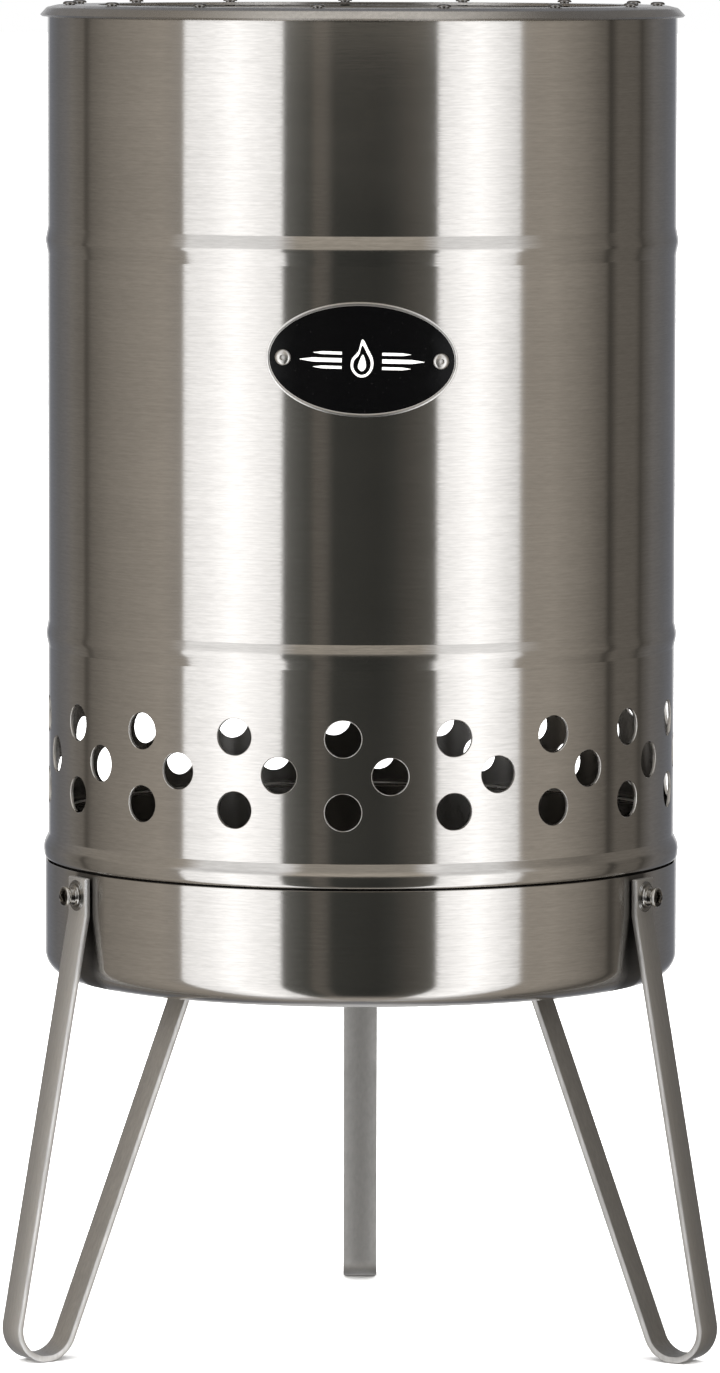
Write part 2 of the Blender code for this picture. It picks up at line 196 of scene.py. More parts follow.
def radial(angle, radius=0.0, height=0.0):
    """The frame whose Z axis points straight out from the chimney at an angle from the front."""
    a = math.radians(angle)
    out = Vector((math.sin(a), -math.cos(a), 0.0))
    across = Vector((math.cos(a), math.sin(a), 0.0))
    up = Vector((0.0, 0.0, 1.0))
    turn = Matrix((across, up, out)).transposed().to_4x4()
    return Matrix.Translation(out * radius + up * height) @ turn


def in_metres(matrix):
    moved = matrix.copy()
    moved.translation = matrix.translation * MM
    return moved


def around(radius, angle):
    a = math.radians(angle)
    return radius * math.sin(a), -radius * math.cos(a)


def boolean_out(thing, cutter, solver="EXACT"):
    """Cuts one mesh out of another and keeps the result."""
    modifier = thing.modifiers.new("cut", "BOOLEAN")
    modifier.operation = "DIFFERENCE"
    modifier.solver = solver
    modifier.object = cutter
    bpy.context.view_layer.update()
    graph = bpy.context.evaluated_depsgraph_get()
    made = bpy.data.meshes.new_from_object(thing.evaluated_get(graph))
    thing.modifiers.remove(modifier)
    old = thing.data
    thing.data = made
    made.name = old.name + "_cut"
    bpy.data.meshes.remove(old)
    bpy.data.objects.remove(cutter, do_unlink=True)
    return thing


# ---- procedural materials ----------------------------------------------------------------------------------------
class Tree:
    """A short way to write a material's node tree."""

    def __init__(self, name):
        self.material = bpy.data.materials.new(name)
        self.material.use_nodes = True
        self.tree = self.material.node_tree
        self.shader = self.tree.nodes["Principled BSDF"]
        self.column = -1600

    def node(self, kind, **settings):
        made = self.tree.nodes.new(kind)
        made.location = (self.column, 0)
        self.column += 20
        for key, value in settings.items():
            setattr(made, key, value)
        return made

    def link(self, out, into):
        self.tree.links.new(out, into)

    def coordinates(self):
        return self.node("ShaderNodeTexCoord").outputs["Object"]

    def scaled(self, vector, scale, rotation=(0.0, 0.0, 0.0)):
        mapping = self.node("ShaderNodeMapping")
        mapping.inputs["Scale"].default_value = scale
        mapping.inputs["Rotation"].default_value = rotation
        self.link(vector, mapping.inputs["Vector"])
        return mapping.outputs["Vector"]

    def noise(self, vector, scale=1.0, detail=2.0, rough=0.5, distortion=0.0):
        tex = self.node("ShaderNodeTexNoise")
        tex.inputs["Scale"].default_value = scale
        tex.inputs["Detail"].default_value = detail
        tex.inputs["Roughness"].default_value = rough
        tex.inputs["Distortion"].default_value = distortion
        self.link(vector, tex.inputs["Vector"])
        return tex.outputs["Fac"]

    def ramp(self, value, stops, interpolation="LINEAR"):
        made = self.node("ShaderNodeValToRGB")
        band = made.color_ramp
        band.interpolation = interpolation
        while len(band.elements) > 1:
            band.elements.remove(band.elements[-1])
        for i, (where, colour) in enumerate(stops):
            stop = band.elements[0] if i == 0 else band.elements.new(where)
            stop.position = where
            if isinstance(colour, (int, float)):
                colour = (colour, colour, colour)
            stop.color = (*colour, 1.0)
        self.link(value, made.inputs["Fac"])
        return made.outputs["Color"]

    def span(self, value, low, high, to_low, to_high):
        made = self.node("ShaderNodeMapRange")
        for key, v in zip(("From Min", "From Max", "To Min", "To Max"), (low, high, to_low, to_high)):
            made.inputs[key].default_value = v
        self.link(value, made.inputs["Value"])
        return made.outputs["Result"]

    def math(self, kind, a, b=None, c=None):
        made = self.node("ShaderNodeMath", operation=kind)
        for i, v in enumerate((a, b, c)):
            if v is None:
                continue
            if isinstance(v, (int, float)):
                made.inputs[i].default_value = v
            else:
                self.link(v, made.inputs[i])
        return made.outputs[0]

    def mix(self, factor, a, b, kind="MIX"):
        made = self.node("ShaderNodeMix", data_type="RGBA", blend_type=kind)
        if isinstance(factor, (int, float)):
            made.inputs[0].default_value = factor
        else:
            self.link(factor, made.inputs[0])
        for index, v in ((6, a), (7, b)):
            if isinstance(v, tuple):
                made.inputs[index].default_value = (*v, 1.0)
            else:
                self.link(v, made.inputs[index])
        return made.outputs[2]

    def bump(self, height, distance, strength=1.0, normal=None):
        made = self.node("ShaderNodeBump")
        made.inputs["Distance"].default_value = distance
        made.inputs["Strength"].default_value = strength
        self.link(height, made.inputs["Height"])
        if normal is not None:
            self.link(normal, made.inputs["Normal"])
        return made.outputs["Normal"]


def sheet_steel(
    name,
    colour,
    darker,
    rough=(0.10, 0.155),
    stretch=0.9,
    grain=(230.0, 230.0, 2100.0),
    bump=0.000012,
    mottled=0.2,
    strap_shade_band=None,
):
    """Stainless sheet brushed round the axis: short fine streaks in tone, gloss and height, faint handling marks, and
    where asked a band of painted shade beside the leg straps.
    """
    t = Tree(name)
    where = t.coordinates()
    fine = t.noise(t.scaled(where, grain), 1.0, 2.0, 0.6)
    long = t.noise(t.scaled(where, (grain[0] * 0.14, grain[1] * 0.14, grain[2] * 0.7)), 1.0, 2.0, 0.55)
    cloud = t.noise(t.scaled(where, (16.0, 16.0, 34.0)), 1.0, 3.0, 0.6)
    streak = t.math("ADD", t.math("MULTIPLY", fine, 0.6), t.math("MULTIPLY", long, 0.4))
    tone = t.span(streak, 0.33, 0.67, 0.0, 1.0)
    shade = t.mix(tone, darker, colour)
    clouded = t.span(cloud, 0.35, 0.7, 1.0 - mottled * 0.3, 1.0)
    final = t.mix(1.0, shade, clouded, "MULTIPLY")
    pan_shade_mask = None
    # painted shade: a dark, rougher band of the sheet beside each leg strap, standing for the strap's shaded back
    # mirrored in the pan
    if strap_shade_band:
        parts = t.node("ShaderNodeSeparateXYZ")
        t.link(where, parts.inputs[0])
        turn = t.math("ARCTAN2", parts.outputs[0], t.math("MULTIPLY", parts.outputs[1], -1.0))
        turn = t.math("ABSOLUTE", turn)
        low = t.span(turn, math.radians(strap_shade_band[0]), math.radians(strap_shade_band[1]), 0.0, 1.0)
        pan_shade_mask = t.math("MULTIPLY", low, t.span(turn, math.radians(strap_shade_band[2]), math.radians(strap_shade_band[3]), 1.0, 0.0))
        final = t.mix(t.math("MULTIPLY", pan_shade_mask, 0.8), final, (0.09, 0.085, 0.08))
    t.link(final, t.shader.inputs["Base Color"])
    gloss = t.span(streak, 0.3, 0.7, rough[1], rough[0])
    gloss = t.math("ADD", gloss, t.math("MULTIPLY", t.math("SUBTRACT", cloud, 0.5), 0.06 * mottled * 4))
    if pan_shade_mask is not None:
        gloss = t.math("ADD", gloss, t.math("MULTIPLY", pan_shade_mask, 0.3))
    t.link(gloss, t.shader.inputs["Roughness"])
    t.shader.inputs["Metallic"].default_value = 1.0
    if stretch:
        t.shader.inputs["Anisotropic"].default_value = stretch
        t.shader.inputs["Anisotropic Rotation"].default_value = 0.25
        tangent = t.node("ShaderNodeTangent", direction_type="RADIAL", axis="Z")
        t.link(tangent.outputs["Tangent"], t.shader.inputs["Tangent"])
    if bump:
        t.link(t.bump(streak, bump), t.shader.inputs["Normal"])
    return t.material


def plain_steel(name, colour, darker, rough, grain, bump, cloud_scale=60.0, wear=True, metallic=1.0):
    """Dull rolled strap or machined steel: directional grain, cloudy tone and brighter corners."""
    t = Tree(name)
    where = t.coordinates()
    fine = t.noise(t.scaled(where, grain), 1.0, 3.0, 0.6)
    cloud = t.noise(where, cloud_scale, 3.0, 0.6)
    value = t.math("ADD", t.math("MULTIPLY", fine, 0.55), t.math("MULTIPLY", cloud, 0.45))
    tone = t.span(value, 0.33, 0.67, 0.0, 1.0)
    shade = t.mix(tone, darker, colour)
    if wear:
        geometry = t.node("ShaderNodeNewGeometry")
        edge = t.span(geometry.outputs["Pointiness"], 0.515, 0.56, 0.0, 0.55)
        shade = t.mix(edge, shade, tuple(min(1.0, c * 1.35) for c in colour))
    t.link(shade, t.shader.inputs["Base Color"])
    t.link(t.span(value, 0.3, 0.7, rough[1], rough[0]), t.shader.inputs["Roughness"])
    t.shader.inputs["Metallic"].default_value = metallic
    if bump:
        t.link(t.bump(value, bump), t.shader.inputs["Normal"])
    return t.material


STEEL = (0.66, 0.635, 0.60)
STEEL_DARK = (0.56, 0.538, 0.507)

outer_steel = sheet_steel("brushed_outer", STEEL, STEEL_DARK)
# the pan gets the band of painted shade beside the left and right leg straps
pan_steel = sheet_steel("brushed_pan", STEEL, STEEL_DARK, strap_shade_band=(52.5, 56.5, 61.5, 63.0))
ring_steel = sheet_steel(
    "brushed_ring", STEEL, STEEL_DARK, rough=(0.2, 0.32), stretch=0.5, grain=(900.0, 900.0, 900.0)
)
inner_steel = sheet_steel(
    "inner_sheet",
    (0.66, 0.63, 0.585),
    (0.54, 0.515, 0.48),
    rough=(0.42, 0.56),
    stretch=0.6,
    mottled=0.6,
)
inner_wall = sheet_steel(
    "inner_wall",
    (0.44, 0.425, 0.40),
    (0.40, 0.385, 0.365),
    rough=(0.195, 0.205),
    stretch=0.96,
    bump=0.0,
    mottled=0.0,
)
# painted shadow: nearly black steel on faces that sit in the shaded gaps where jacket, collar and pan meet
painted_joint_shadow = plain_steel(
    "painted_joint_shadow", (0.22, 0.213, 0.203), (0.16, 0.155, 0.148), (0.4, 0.5), (300.0, 300.0, 900.0), 0.0, wear=False
)
# bare cut metal for hole walls and edges, with a painted highlight: its colour is brighter than the sheet's so the rims
# read as lit
cut_edge_painted_highlight = plain_steel(
    "cut_edge_painted_highlight", (0.90, 0.88, 0.84), (0.78, 0.76, 0.72), (0.42, 0.54), (900.0, 900.0, 900.0), 0.000006, wear=False
)
grate_steel = plain_steel(
    "grate_sheet", (0.55, 0.53, 0.50), (0.42, 0.40, 0.38), (0.30, 0.45), (60.0, 1400.0, 400.0), 0.00002
)
# lit and shaded copies of one strap finish, as painted light and shade: the left strap lightest, the right darker, the
# back strap darkest
strap_lit_and_shaded = {
    side: plain_steel(
        f"strap_mill_finish_{side}",
        (light, light * 0.977, light * 0.935),
        (light * 0.77, light * 0.752, light * 0.72),
        (0.42, 0.56),
        (900.0, 900.0, 60.0),
        0.00003,
        cloud_scale=90.0,
    )
    for side, light in (("left", 0.88), ("right", 0.57), ("back", 0.44))
}
strap_edge = plain_steel(
    "strap_sheared_edge",
    (0.80, 0.785, 0.755),
    (0.07, 0.068, 0.065),
    (0.38, 0.6),
    (800.0, 800.0, 600.0),
    0.00012,
    cloud_scale=480.0,
)
# painted highlight: near-white steel for the strap's rounded corners and its top cut end
corner_highlight_steel = plain_steel(
    "leg_corner_painted_highlight", (0.95, 0.93, 0.90), (0.8, 0.78, 0.75), (0.3, 0.42), (900.0, 900.0, 300.0), 0.00001, wear=False
)


def strap_back_face():
    """The strap's inner face: the same mill finish, with painted shade that turns it near black where it stands against
    the pan.
    """
    t = Tree("strap_back_face")
    where = t.coordinates()
    parts = t.node("ShaderNodeSeparateXYZ")
    t.link(where, parts.inputs[0])
    value = t.noise(t.scaled(where, (900.0, 900.0, 60.0)), 1.0, 3.0, 0.6)
    plain = t.mix(t.span(value, 0.33, 0.67, 0.0, 1.0), (0.52, 0.505, 0.48), (0.66, 0.645, 0.62))
    # painted shade: near black from about 104 mm up, where the strap stands against the pan
    against_pan_shade = t.span(parts.outputs[2], 0.104, 0.116, 0.0, 1.0)
    t.link(t.mix(against_pan_shade, plain, (0.035, 0.034, 0.033)), t.shader.inputs["Base Color"])
    t.link(t.span(value, 0.3, 0.7, 0.58, 0.44), t.shader.inputs["Roughness"])
    t.shader.inputs["Metallic"].default_value = 1.0
    t.link(t.bump(value, 0.00003), t.shader.inputs["Normal"])
    return t.material


strap_back = strap_back_face()
bright_steel = plain_steel(
    "polished_fastener",
    (0.62, 0.60, 0.57),
    (0.48, 0.46, 0.43),
    (0.08, 0.2),
    (900.0, 900.0, 900.0),
    0.000006,
    cloud_scale=220.0,
)
# painted reflection: the ring rivets' steel is made dark to stand for the dark surroundings they mirror
rivet_steel = plain_steel(
    "ring_rivet_steel",
    (0.26, 0.25, 0.24),
    (0.15, 0.145, 0.14),
    (0.16, 0.28),
    (700.0, 700.0, 700.0),
    0.00001,
    cloud_scale=300.0,
)


def bolt_metal():
    """Machined bolt with painted light: painted highlights on its rims and in a line low on its waist, painted shade
    over its lower half and in its socket.
    """
    t = Tree("socket_bolt_steel")
    where = t.coordinates()
    parts = t.node("ShaderNodeSeparateXYZ")
    t.link(where, parts.inputs[0])
    x, y = parts.outputs[0], parts.outputs[1]
    far = t.math("SQRT", t.math("ADD", t.math("MULTIPLY", x, x), t.math("MULTIPLY", y, y)))
    fine = t.noise(where, 900.0, 2.0, 0.6)
    # painted shade: dark below the bolt's middle, lighter above it
    shade = t.mix(t.span(y, -0.0002, 0.0008, 0.0, 1.0), (0.04, 0.038, 0.036), (0.44, 0.425, 0.40))
    # painted highlight: a light line low on the waist
    under = t.math("MULTIPLY", t.span(y, -0.0012, -0.0009, 1.0, 0.0), t.span(y, -0.0021, -0.0017, 0.0, 1.0))
    shade = t.mix(t.math("MULTIPLY", under, 0.8), shade, (0.66, 0.64, 0.60))
    # painted highlight: a bright band round the head's rim, fainter on the flange
    ring = t.math("MULTIPLY", t.span(far, 0.00285, 0.00296, 0.0, 1.0), t.span(far, 0.0032, 0.00326, 1.0, 0.4))
    shade = t.mix(t.math("MULTIPLY", ring, 0.85), shade, (0.70, 0.68, 0.64))
    # painted shade in the socket
    shade = t.mix(t.span(far, 0.00235, 0.0025, 0.9, 0.0), shade, (0.12, 0.11, 0.095))
    t.link(shade, t.shader.inputs["Base Color"])
    t.link(t.span(fine, 0.3, 0.7, 0.07, 0.15), t.shader.inputs["Roughness"])
    t.shader.inputs["Metallic"].default_value = 1.0
    return t.material


bolt_steel = bolt_metal()
washer_steel = plain_steel(
    "washer_steel", (0.42, 0.41, 0.39), (0.26, 0.255, 0.245), (0.14, 0.26), (900.0, 900.0, 900.0), 0.000006
)


def enamel():
    """Deep gloss black with a faint orange peel and dust specks."""
    t = Tree("black_enamel")
    where = t.coordinates()
    peel = t.noise(where, 420.0, 2.0, 0.5)
    speck = t.noise(where, 1500.0, 1.0, 0.5)
    t.link(
        t.mix(t.span(speck, 0.72, 0.8, 0.0, 1.0), (0.0012, 0.0012, 0.0013), (0.008, 0.0075, 0.0075)),
        t.shader.inputs["Base Color"],
    )
    t.link(t.span(peel, 0.3, 0.7, 0.10, 0.2), t.shader.inputs["Roughness"])
    t.shader.inputs["Specular IOR Level"].default_value = 0.12
    t.link(t.bump(peel, 0.000006), t.shader.inputs["Normal"])
    return t.material


def plate_metal():
    """The nameplate's bare bright metal: rim and rivet heads."""
    return plain_steel(
        "plate_bright_metal",
        (0.80, 0.78, 0.75),
        (0.66, 0.64, 0.61),
        (0.26, 0.38),
        (1300.0, 400.0, 1300.0),
        0.000008,
        cloud_scale=240.0,
        wear=False,
    )


black = enamel()
silver = plate_metal()
silver_paint = plain_steel(
    "silver_paint",
    (0.88, 0.87, 0.84),
    (0.74, 0.73, 0.70),
    (0.35, 0.5),
    (1500.0, 1500.0, 1500.0),
    0.000006,
    cloud_scale=700.0,
    wear=False,
    metallic=0.25,
)


# ---- shells ------------------------------------------------------------------------------------------------------
def bump_points(crest, half, proud, radius, base=None, round_crest=4.0, round_foot=0.7):
    """One rolled bead from its upper edge down: straight flanks, a rounded crest and small hollow corners."""
    base = radius if base is None else base
    return [
        (radius, crest + half, round_foot),
        (radius + proud, crest, round_crest),
        (base, crest - half, round_foot),
    ]


def level(path, step):
    """Adds points along the straight parts of a path, so that long walls have rows of their own."""
    out = [path[0]]
    for a, b in zip(path, path[1:]):
        n = max(1, int(math.ceil(math.dist(a, b) / step)))
        for k in range(1, n + 1):
            out.append((a[0] + (b[0] - a[0]) * k / n, a[1] + (b[1] - a[1]) * k / n))
    return out


def build_jacket():
    path = [(90.0, JACKET_TOP), (100.0, JACKET_TOP, 0.9)]
    path += bump_points(351.0, 4.6, 0.85, 100.0)
    path += bump_points(225.7, 4.0, 0.78, 100.0, round_crest=7.0)
    path += [(100.0, 161.6, 0.5), (101.62, 158.2, 5.5), (101.35, 153.8, 1.7), (98.4, 153.8, 0.5), (98.4, JACKET_FOOT)]
    outline = fatten(fillet(path), 0.9)
    jacket = lathe("jacket_shell", outline, outer_steel)

    # air holes, each wrapped round the wall, with a small drawn-in edge outside
    bm = bmesh.new()
    sides = 40
    for height, phase in HOLE_ROWS:
        for k in range(HOLES_PER_ROW):
            middle = math.radians(phase + k * 360.0 / HOLES_PER_ROW)
            rows = []
            for rise, radius in (
                (-3.0, HOLE_R),
                (-0.34, HOLE_R),
                (-0.12, HOLE_R + 0.08),
                (0.02, HOLE_R + 0.27),
                (1.0, HOLE_R + 1.3),
            ):
                row = []
                for j in range(sides):
                    s = 2 * math.pi * j / sides
                    a = middle + radius * math.cos(s) / 100.0
                    r = 100.0 + rise
                    row.append(
                        bm.verts.new((r * math.sin(a), -r * math.cos(a), height + radius * math.sin(s)))
                    )
                rows.append(row)
            for a, b in zip(rows, rows[1:]):
                for j in range(sides):
                    m = (j + 1) % sides
                    bm.faces.new((a[j], a[m], b[m], b[j]))
            bm.faces.new(rows[0][::-1])
            bm.faces.new(rows[-1])
    # the two holes behind the nameplate's rivets
    for side in (-1.0, 1.0):
        angle = math.degrees(math.asin(side * PLATE_RIVET_X / 100.8))
        drop = -side * PLATE_RIVET_X * math.sin(math.radians(PLATE_TURN))
        spin(
            bm,
            [(0.0, 96.0), (1.8, 96.0), (1.8, 104.0), (0.0, 104.0)],
            16,
            closed=False,
            matrix=radial(angle, 0.0, PLATE_Z + drop),
        )
    # the fifteen rivet holes in the turned-in flange
    for k in range(RIVETS):
        x, y = around(RIVET_CIRCLE, RIVET_PHASE + k * 360.0 / RIVETS)
        spin(
            bm,
            [(0.0, JACKET_TOP - 4), (1.8, JACKET_TOP - 4), (1.8, JACKET_TOP + 4), (0.0, JACKET_TOP + 4)],
            16,
            closed=False,
            matrix=Matrix.Translation((x, y, 0.0)),
        )
    cutter = finish_mesh("cutter", bm)
    jacket.data.materials.clear()
    boolean_out(jacket, cutter)
    # the jacket's skirt below the bottom bead takes the fourth material, painted shadow in the gap over the pan's rim
    face_materials(
        jacket,
        (outer_steel, inner_wall, cut_edge_painted_highlight, painted_joint_shadow),
        lambda r, z, facing: 3 if z < 155.2 and r < 99.9 and facing > -0.3 else None,
    )
    true_normals(jacket, outline)
    return jacket


def face_materials(thing, materials, own=None):
    """Gives a round shell its outer sheet, its inner sheet and, where there is a third, the walls of its round holes. A rule
    of the face's radius and height in millimetres and its facing may name another."""
    mesh = thing.data
    mesh.materials.clear()
    for m in materials:
        mesh.materials.append(m)
    for face in mesh.polygons:
        middle = face.center
        out = Vector((middle.x, middle.y, 0.0)).normalized()
        facing = face.normal.dot(out)
        flat = math.hypot(facing, face.normal.z)
        named = own(math.hypot(middle.x, middle.y) / MM, middle.z / MM, facing) if own else None
        if named is not None:
            face.material_index = named
        elif len(materials) > 2 and flat < 0.93:
            face.material_index = 2
        else:
            face.material_index = 1 if facing < -0.3 else 0


def true_normals(thing, outline):
    """Gives a perforated lathe shape the normals of the unbroken one, so the cuts don't show in its reflections."""
    mesh = thing.data
    mesh.shade_smooth()
    segments = []
    for i, p in enumerate(outline):
        q = outline[(i + 1) % len(outline)]
        d = Vector((q[0] - p[0], q[1] - p[1]))
        if d.length > 1e-9:
            segments.append((Vector(p), Vector(q), d.normalized()))
    # which way is out: the outline runs one way round, so test its signed area
    area = sum(
        p[0] * outline[(i + 1) % len(outline)][1] - outline[(i + 1) % len(outline)][0] * p[1]
        for i, p in enumerate(outline)
    )
    flip = 1.0 if area > 0 else -1.0
    count = len(outline)
    corner = []
    for i in range(count):
        a, b, c = (Vector(outline[j % count]) for j in (i - 1, i, i + 1))
        d1, d2 = (b - a), (c - b)
        n1, n2 = Vector((d1.y, -d1.x)).normalized() * flip, Vector((d2.y, -d2.x)).normalized() * flip
        corner.append((n1, n2, (n1 + n2).normalized() if n1.dot(n2) > math.cos(math.radians(32)) else None))
    keys = {}
    for i, p in enumerate(outline):
        keys.setdefault((round(p[0], 2), round(p[1], 2)), []).append(i)

    def at(r, z, face_normal):
        """Normal in the (r, z) plane of the outline's nearest piece that faces the same way."""
        best, found = 1e9, None
        for i in range(count):
            p, q = outline[i], outline[(i + 1) % count]
            dx, dz = q[0] - p[0], q[1] - p[1]
            size = dx * dx + dz * dz
            t = max(0.0, min(1.0, ((r - p[0]) * dx + (z - p[1]) * dz) / size))
            ex, ez = p[0] + dx * t - r, p[1] + dz * t - z
            far = ex * ex + ez * ez
            length = math.sqrt(size)
            n = (dz / length * flip, -dx / length * flip)
            if n[0] * face_normal[0] + n[1] * face_normal[1] < 0.9:
                continue
            if far < best:
                best, found = far, (i, t, n)
        if found is None or best > 0.02:
            return None
        i, t, n = found
        start = corner[i][2] or Vector(n)
        end = corner[(i + 1) % count][2] or Vector(n)
        return (start * (1 - t) + end * t).normalized()

    normals = [None] * len(mesh.loops)
    cache = {}
    for face in mesh.polygons:
        fn = face.normal
        for index in face.loop_indices:
            v = mesh.vertices[mesh.loops[index].vertex_index].co
            r = math.hypot(v.x, v.y)
            if r < 1e-6:
                normals[index] = tuple(fn)
                continue
            out = Vector((v.x / r, v.y / r, 0.0))
            side = (fn.dot(out), fn.z)
            # walls of the holes are left with their own normals
            length = math.hypot(*side)
            if length < 0.9:
                normals[index] = None
                continue
            key = (round(r / MM, 2), round(v.z / MM, 2), round(side[0] / length, 1), round(side[1] / length, 1))
            if key not in cache:
                cache[key] = at(r / MM, v.z / MM, (side[0] / length, side[1] / length))
            n = cache[key]
            if n is None:
                normals[index] = None
            else:
                normals[index] = tuple(out * n.x + Vector((0.0, 0.0, n.y)))
    mesh.set_sharp_from_angle(angle=math.radians(32))
    kept = [tuple(c.vector) for c in mesh.corner_normals]
    mesh.normals_split_custom_set([n if n is not None else kept[i] for i, n in enumerate(normals)])


def ring_outline():
    top = RING_TOP
    path = fillet(
        [
            (84.0, top),
            (97.0, top, 5.0),
            (100.3, top - 0.8, 1.6),
            (102.4, top - 3.1),
        ],
        6,
    )
    return fatten(path, 0.8)


def pan_outline():
    outer = fillet([(101.05, PAN_RIM), (101.05, PAN_FLOOR, 7.5), (0.0, PAN_FLOOR)], 12)
    inner = fillet([(100.35, PAN_RIM), (100.35, PAN_FLOOR + 0.7, 6.8), (0.0, PAN_FLOOR + 0.7)], 12)
    top = [(100.9, PAN_RIM + 0.0), (100.5, PAN_RIM + 0.0)]
    outer[0] = (101.05, PAN_RIM - 0.15)
    inner[0] = (100.35, PAN_RIM - 0.15)
    return outer[::-1] + top + inner


def collar_outline():
    """The collar's section, with a small hem along its top edge."""
    top = COLLAR_HIGH
    outer = fillet([(97.2, top - 0.4), (97.2, 151.4, 0.8), (100.05, 150.3, 0.8), (100.05, COLLAR_LOW)])
    inner = fillet([(99.25, COLLAR_LOW), (99.25, 150.1, 0.5), (96.4, 151.2, 0.9), (96.4, top - 1.5)])
    hem = [(96.22, top - 1.32), (96.1, top - 1.1), (96.06, top - 0.8), (96.08, top - 0.5), (96.2, top - 0.2)]
    hem += [(96.42, top - 0.04), (96.65, top), (96.9, top - 0.04), (97.1, top - 0.18)]
    return outer + inner + hem


def punch(thing, outline_list, material, outline):
    """Cuts round holes given as (frame, radius, low, high, sides) and keeps the shape's own normals."""
    bm = bmesh.new()
    for at, radius, low, high, sides in outline_list:
        spin(bm, [(0.0, low), (radius, low), (radius, high), (0.0, high)], sides, closed=False, matrix=at)
    cutter = finish_mesh("cutter", bm)
    boolean_out(thing, cutter)
    thing.data.materials.clear()
    thing.data.materials.append(material)
    true_normals(thing, outline)
    return thing


jacket = build_jacket()
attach(jacket, "chimney")
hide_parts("jacket")

ring_holes = [
    (Matrix.Translation((*around(RIVET_CIRCLE, RIVET_PHASE + k * 24.0), 0.0)), 1.8, 418.0, 430.0, 16)
    for k in range(RIVETS)
]

tube_shape = [
    (84.6, 424.3),
    (96.8, 424.3),
    (96.8, 423.5),
    *fillet([(90.0, 423.5), (85.4, 423.5, 0.8), (85.4, TUBE_FOOT, 1.2), (74.0, TUBE_FOOT)], 5)[1:],
    (74.0, TUBE_FOOT + 0.8),
    *fillet([(76.0, TUBE_FOOT + 0.8), (84.6, TUBE_FOOT + 0.8, 0.5), (84.6, 423.0)], 4)[1:-1],
]
tube = lathe("fire_tube_shell", tube_shape, inner_steel)
punch(tube, ring_holes, inner_steel, tube_shape)
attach(tube, "chimney")
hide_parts("fire_tube")

ring_shape = ring_outline()
ring = lathe("top_ring_shell", ring_shape, ring_steel)
punch(ring, ring_holes, ring_steel, ring_shape)
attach(ring, "chimney")
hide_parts("top_ring")

pan_shape = pan_outline()
pan = lathe("base_pan_shell", pan_shape, outer_steel, closed=False)
pan_holes = [(radial(a, 0.0, BOLT_Z), 2.3, 90.0, 112.0, 24) for a in LEG_ANGLES.values()]
pan_holes += [
    (Matrix.Translation((*around(53.0, a), 0.0)), 2.3, 108.0, 124.0, 24) for a in LEG_ANGLES.values()
]
punch(pan, pan_holes, outer_steel, pan_shape)
# inside the pan, the band under the rim takes the third material, painted shadow in the gap under the jacket
face_materials(
    pan,
    (pan_steel, inner_wall, painted_joint_shadow),
    lambda r, z, facing: (2 if z > 140.0 and z < PAN_RIM - 0.3 else 1) if facing < -0.3 else 0,
)
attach(pan, "stand")
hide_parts("base_pan")

collar_shape = collar_outline()
collar = lathe("centering_collar_band", collar_shape, inner_steel)
punch(
    collar,
    [(radial(a, 0.0, BOLT_Z), 2.3, 90.0, 112.0, 24) for a in LEG_ANGLES.values()],
    inner_steel,
    collar_shape,
)
# the collar's outer face takes the first material, painted shadow in the gap inside the pan; two thin bands of its hem,
# at the top and at its lower bend, take the third, as painted highlight lines
face_materials(
    collar,
    (painted_joint_shadow, inner_wall, cut_edge_painted_highlight),
    lambda r, z, facing: 2 if z > COLLAR_HIGH - 0.35 or -1.35 < z - COLLAR_HIGH < -1.05 else (0 if facing > 0.3 else 1),
)
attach(collar, "stand")
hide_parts("centering_collar")


# ---- coal grate --------------------------------------------------------------------------------------------------
def build_grate():
    rim = 0.35
    outline = [
        (0.0, GRATE_LOW),
        (82.5 - rim, GRATE_LOW),
        (82.5, GRATE_LOW + rim),
        (82.5, GRATE_HIGH - rim),
        (82.5 - rim, GRATE_HIGH),
        (0.0, GRATE_HIGH),
    ]
    plate = lathe("coal_grate_plate", outline, grate_steel, sides=128, closed=False)
    bm = bmesh.new()
    for radius, count, phase in ((0.0, 1, 0.0), (21.0, 6, 0.0), (42.0, 12, 0.0), (64.0, 18, 10.0)):
        for k in range(count):
            x, y = around(radius, phase + k * 360.0 / count)
            spin(
                bm,
                [
                    (0.0, GRATE_LOW - 2),
                    (5.0, GRATE_LOW - 2),
                    (5.0, GRATE_HIGH - 0.35),
                    (5.35, GRATE_HIGH + 0.01),
                    (6.5, GRATE_HIGH + 1.2),
                    (0.0, GRATE_HIGH + 1.2),
                ],
                32,
                closed=False,
                matrix=Matrix.Translation((x, y, 0.0)),
            )
    boolean_out(plate, finish_mesh("cutter", bm))
    plate.data.materials.clear()
    plate.data.materials.append(grate_steel)
    plate.data.shade_smooth()
    plate.data.set_sharp_from_angle(angle=math.radians(30))
    return plate


grate = build_grate()
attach(grate, "grate")
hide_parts("coal_grate")


